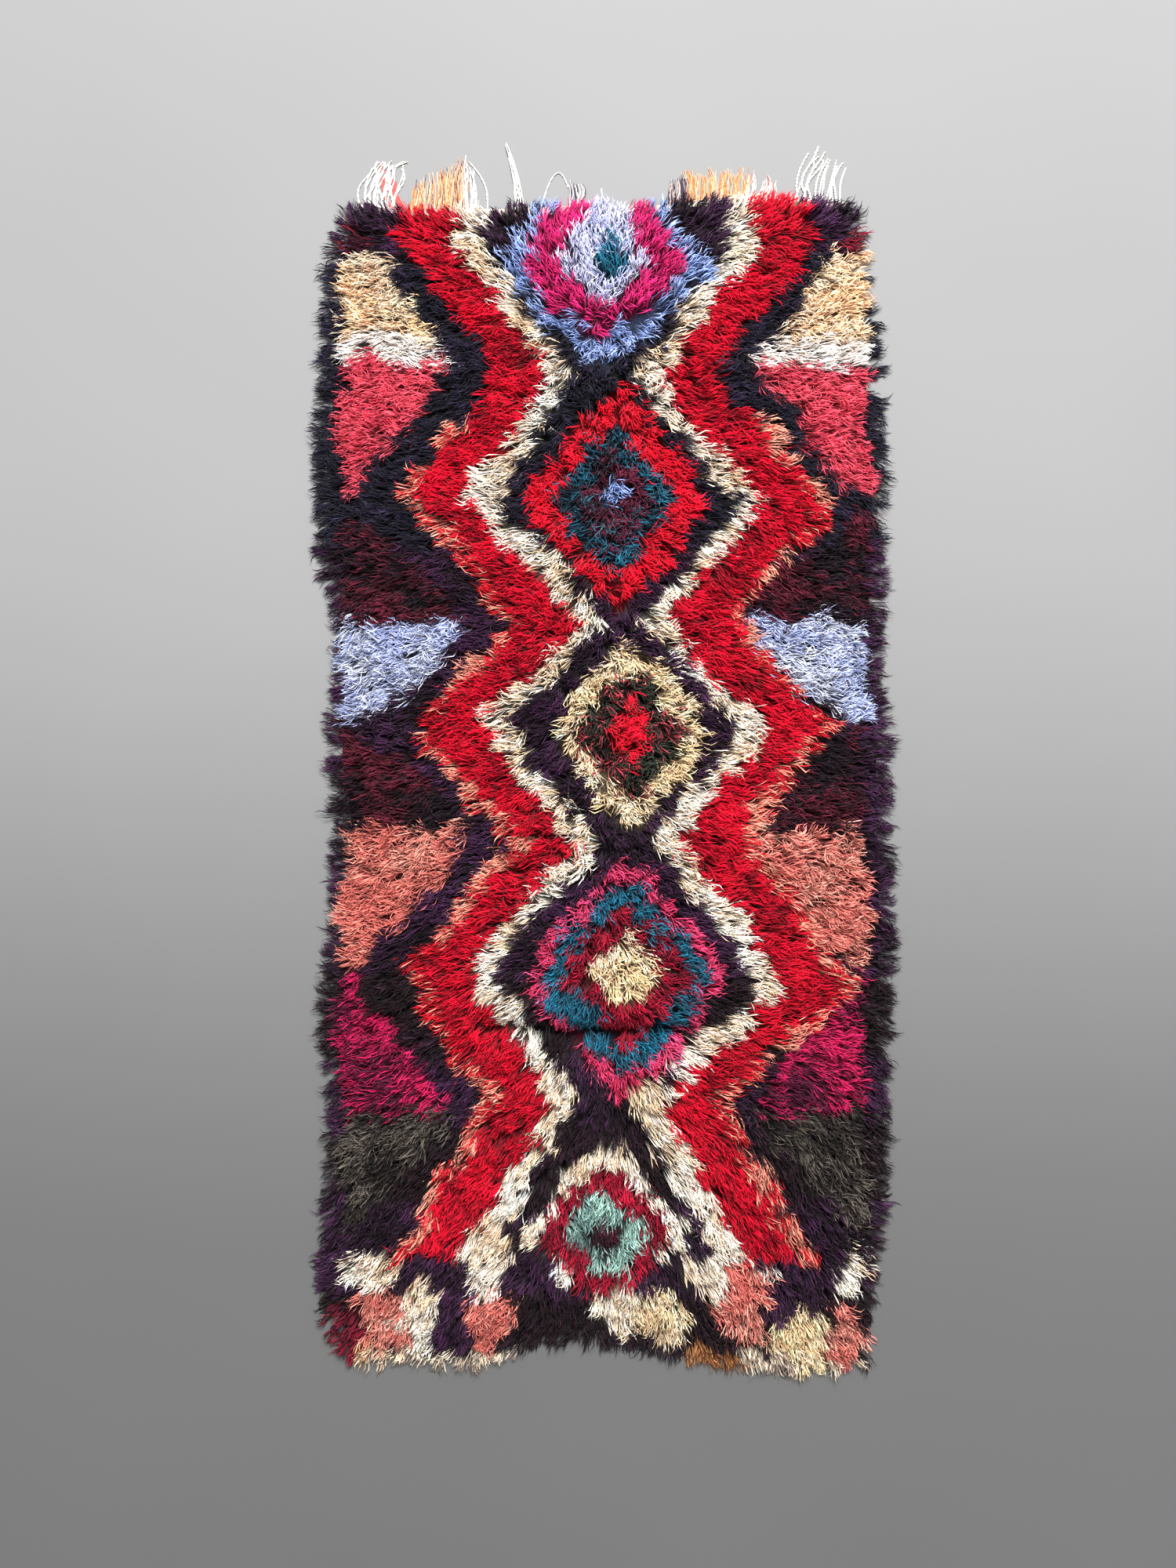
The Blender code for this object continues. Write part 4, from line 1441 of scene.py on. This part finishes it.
@dataclass
class TopFringe:
    """The heading at the top end, with the warp ends and loose tufts that come out of it."""

    form: RugForm
    gap: float = 0.0003
    strip_width: float = 0.015
    strip_thickness: float = 0.0028
    strip_margin: float = 0.002
    strip_columns: int = 180
    steps: int = 14
    strip_overlap: float = 0.004
    lean_spread: float = 0.0045
    bow_spread: float = 0.0040
    sway_spread: float = 0.0028
    sway_turns: float = 1.1
    most_warp_plies: int = 3
    tuft_shorter: float = 0.28
    tuft_spread: float = 0.0042
    tuft_opening: float = 1.5
    tuft_rise: float = 4.0
    tip_narrowing: float = 0.35
    rib_height: float = 0.0004
    tone_spread: float = 0.07
    heading_spread: float = 0.12
    heading_cream: Colour = (226, 214, 200)
    tubes: YarnTubes = field(default_factory=YarnTubes)
    # Painted shadow: the fringe yarn a little darker at its root
    yarn: YarnFinish = field(default_factory=lambda: YarnFinish(
        "fringe_yarn", root_painted_shadow=0.9, tip_painted_light=1.0, fibre_contrast=0.10, sheen=0.15,
    ))
    weave: WovenFinish = field(default_factory=lambda: WovenFinish(
        "heading_weave", rib_pitch=0.003, warp_pitch=0.0045,
    ))

    def root_line(self, x: Points) -> Points:
        """Give how far along the strip's back edge lies."""
        return self.form.read(self.form.end_outline, 2, x) - self.form.reach_top + self.gap

    def ply_paths(self, row: FringeRow, maker: np.random.Generator) -> list[tuple]:
        """Draw the lines of every ply in a row.

        Args:
            row: the row.
            maker: the source of all that is uneven.

        Returns:
            Pairs of a line of points with its radii, and a colour.
        """
        paths = []
        pitch = (row.last - row.first) / row.strands
        tuft = row.plies > self.most_warp_plies
        longest = max(row.reach_first, row.reach_last)
        for strand in range(row.strands):
            share = strand / max(row.strands - 1, 1)
            root = row.first + pitch * (strand + 0.5)
            reach = row.reach_first + (row.reach_last - row.reach_first) * share
            reach += maker.uniform(-row.uneven, row.uneven)
            lean = row.lean_first + (row.lean_last - row.lean_first) * share
            lean += maker.normal(0.0, self.lean_spread) * row.curl
            bow = row.bow + maker.normal(0.0, self.bow_spread) * row.curl
            sway = maker.normal(0.0, self.sway_spread) * row.curl
            turned = maker.uniform(0.0, math.tau)
            dye = row.dyes[int(maker.integers(len(row.dyes)))]
            for ply in range(row.plies):
                own = reach * (1.0 - (self.tuft_shorter * maker.uniform() if tuft else 0.0))
                part = np.linspace(0.0, own / longest, self.steps)
                distance = part * longest
                x = root + lean * part + bow * np.sin(math.pi * part)
                wave = np.sin(math.tau * part * self.sway_turns + turned) - math.sin(turned)
                x = x + sway * wave * part
                if tuft:
                    spread = maker.normal(0.0, self.tuft_spread) * row.curl
                    x = x + spread * part ** self.tuft_opening
                y = self.root_line(np.full(self.steps, root)) + self.strip_width - self.strip_overlap
                y = y + distance - row.drop * part * part
                turn = math.tau * (ply / row.plies + row.twist * distance / 0.1)
                x = x + row.lay_width * (1.0 + row.splay * part) * np.cos(turn)
                z = row.ply_radius + row.lay_width * 0.5 * (1.0 + np.sin(turn))
                if tuft:
                    height = row.ply_radius * (1.0 + self.tuft_rise * maker.uniform())
                    z = np.full(self.steps, height)
                wide = row.ply_radius * (1.0 - self.tip_narrowing * (distance / own) ** 3)
                tone = row.dyes[int(maker.integers(len(row.dyes)))] if tuft else dye
                paths.append((self.form.to_world(x, y, z), wide, tone))
        return paths

    def lines(self) -> bpy.types.Mesh:
        """Draw all plies as one mesh of lines with their widths and colours.

        Returns:
            The mesh of lines.
        """
        maker = np.random.default_rng(SEED + 2)
        paths = [path for row in FRINGE for path in self.ply_paths(row, maker)]
        points = np.concatenate([path[0] for path in paths])
        number = np.arange(len(points)).reshape(len(paths), self.steps)
        edges = np.stack((number[:, :-1], number[:, 1:]), axis=-1).reshape(-1, 2)
        mesh = bpy.data.meshes.new("fringe_lines")
        mesh.from_pydata(points.tolist(), edges.tolist(), [])
        layer = mesh.attributes.new("wide", "FLOAT", "POINT")
        layer.data.foreach_set("value", np.concatenate([path[1] for path in paths]))
        along = mesh.attributes.new("along", "FLOAT", "POINT")
        along.data.foreach_set("value", np.tile(np.linspace(0.0, 1.0, self.steps), len(paths)))
        tones = linear(np.array([path[2] for path in paths]))
        tones = tones * (1.0 + maker.normal(0.0, self.tone_spread, len(paths)))[:, None]
        paint_points(mesh, "yarn_colour", np.clip(np.repeat(tones, self.steps, axis=0), 0.0, 1.0))
        return mesh

    def heading(self) -> bpy.types.Object:
        """Weave the narrow heading strip.

        Returns:
            The piece.
        """
        first, last = self.form.side_outline[0][1:]
        x = np.linspace(
            first + self.form.reach_side + self.strip_margin,
            last - self.form.reach_side - self.strip_margin, self.strip_columns,
        )
        back = self.root_line(x)
        ribs = self.rib_height * np.cos(np.arange(self.strip_columns) * math.pi)
        rows = []
        for share, height in ((0.0, 0.8), (0.33, 1.0), (0.66, 1.0), (1.0, 0.7)):
            z = (self.strip_thickness - self.rib_height) * height + ribs
            rows.append(self.form.to_world(x, back + self.strip_width * share, z))
        top = np.stack(rows)
        low = top.copy()
        low[:, :, 2] = 0.0
        mesh = closed_sheet("heading", top, low)
        maker = np.random.default_rng(SEED + 3)
        cream = linear(np.array(self.heading_cream))
        tone = 1.0 + maker.normal(0.0, self.heading_spread, len(mesh.vertices))
        paint_points(mesh, "yarn_colour", np.clip(cream * tone[:, None], 0.0, 1.0))
        mesh.materials.append(self.weave.material())
        return add_piece("heading", mesh, "top_fringe")

    def build(self) -> list[bpy.types.Object]:
        """Make the heading and the fringe.

        Returns:
            Both pieces.
        """
        mesh = grow_mesh("fringe_yarns", self.lines(), self.tubes.tree(), {
            "Sides": self.tubes.sides, "Thickness": 1.0, "Yarn": self.yarn.material(),
        })
        return [self.heading(), add_piece("fringe_yarns", mesh, "top_fringe")]


# The studio


@dataclass(frozen=True)
class Studio:
    """A pale floor, soft light and the camera straight above."""

    form: RugForm
    floor_size: float = 9.0
    lens: float = 26.0
    sensor: float = 36.0
    view_height: float = 2.90
    aim: tuple[float, float] = (-0.030, 0.0015)
    sky: float = 0.64
    key_power: float = 1650.0
    key_size: float = 3.4
    key_place: tuple[float, float, float] = (0.8, 5.4, 6.2)
    finish: FloorFinish = field(default_factory=FloorFinish)

    def floor(self) -> bpy.types.Object:
        """Lay the floor.

        Returns:
            The floor, which isn't part of the rug.
        """
        half = self.floor_size / 2.0
        mesh = bpy.data.meshes.new("floor")
        mesh.from_pydata(
            [(-half, -half, 0.0), (half, -half, 0.0), (half, half, 0.0), (-half, half, 0.0)],
            [], [(0, 1, 2, 3)],
        )
        mesh.materials.append(self.finish.material())
        floor = bpy.data.objects.new("floor", mesh)
        bpy.context.scene.collection.objects.link(floor)
        return floor

    def camera(self) -> bpy.types.Object:
        """Hang the camera over the rug, looking straight down.

        Returns:
            The camera.
        """
        lens = bpy.data.cameras.new("camera")
        lens.sensor_fit = "VERTICAL"
        lens.sensor_height = self.sensor
        lens.lens = self.lens
        height = self.view_height / 2.0 * self.lens / (self.sensor / 2.0)
        camera = bpy.data.objects.new("camera", lens)
        camera.location = (
            self.aim[0] + self.form.shift[0], self.aim[1] + self.form.shift[1], height,
        )
        bpy.context.scene.collection.objects.link(camera)
        bpy.context.scene.camera = camera
        return camera

    def lights(self) -> None:
        """Set the sky's soft light and one large soft lamp past the top end."""
        world = bpy.data.worlds.new("soft_sky")
        world.use_nodes = True
        sky = world.node_tree.nodes["Background"]
        sky.inputs["Color"].default_value = (1.0, 1.0, 1.0, 1.0)
        sky.inputs["Strength"].default_value = self.sky
        bpy.context.scene.world = world
        lamp = bpy.data.lights.new("key_light", "AREA")
        lamp.shape = "SQUARE"
        lamp.size = self.key_size
        lamp.energy = self.key_power
        holder = bpy.data.objects.new("key_light", lamp)
        holder.location = self.key_place
        holder.rotation_euler = (
            -math.atan2(self.key_place[1], self.key_place[2]), 0.0, 0.0,
        )
        bpy.context.scene.collection.objects.link(holder)

    def build(self) -> None:
        """Set the whole studio."""
        self.floor()
        self.camera()
        self.lights()
        bpy.context.scene.view_settings.view_transform = "Standard"
        log.info("studio: floor, camera and lights")


def main() -> None:
    """Dress the rug, piece by piece."""
    logging.basicConfig(level=logging.INFO, format="%(name)s: %(message)s")
    form = RugForm()
    chart = Chart()
    Studio(form).build()
    ground = WovenGround(form, chart)
    sheet = ground.build()
    under = ShadedUndergrowth(form, chart).build()
    pile = Pile(form, chart).build()
    fringe = TopFringe(form).build()


if __name__ == "__main__":
    main()
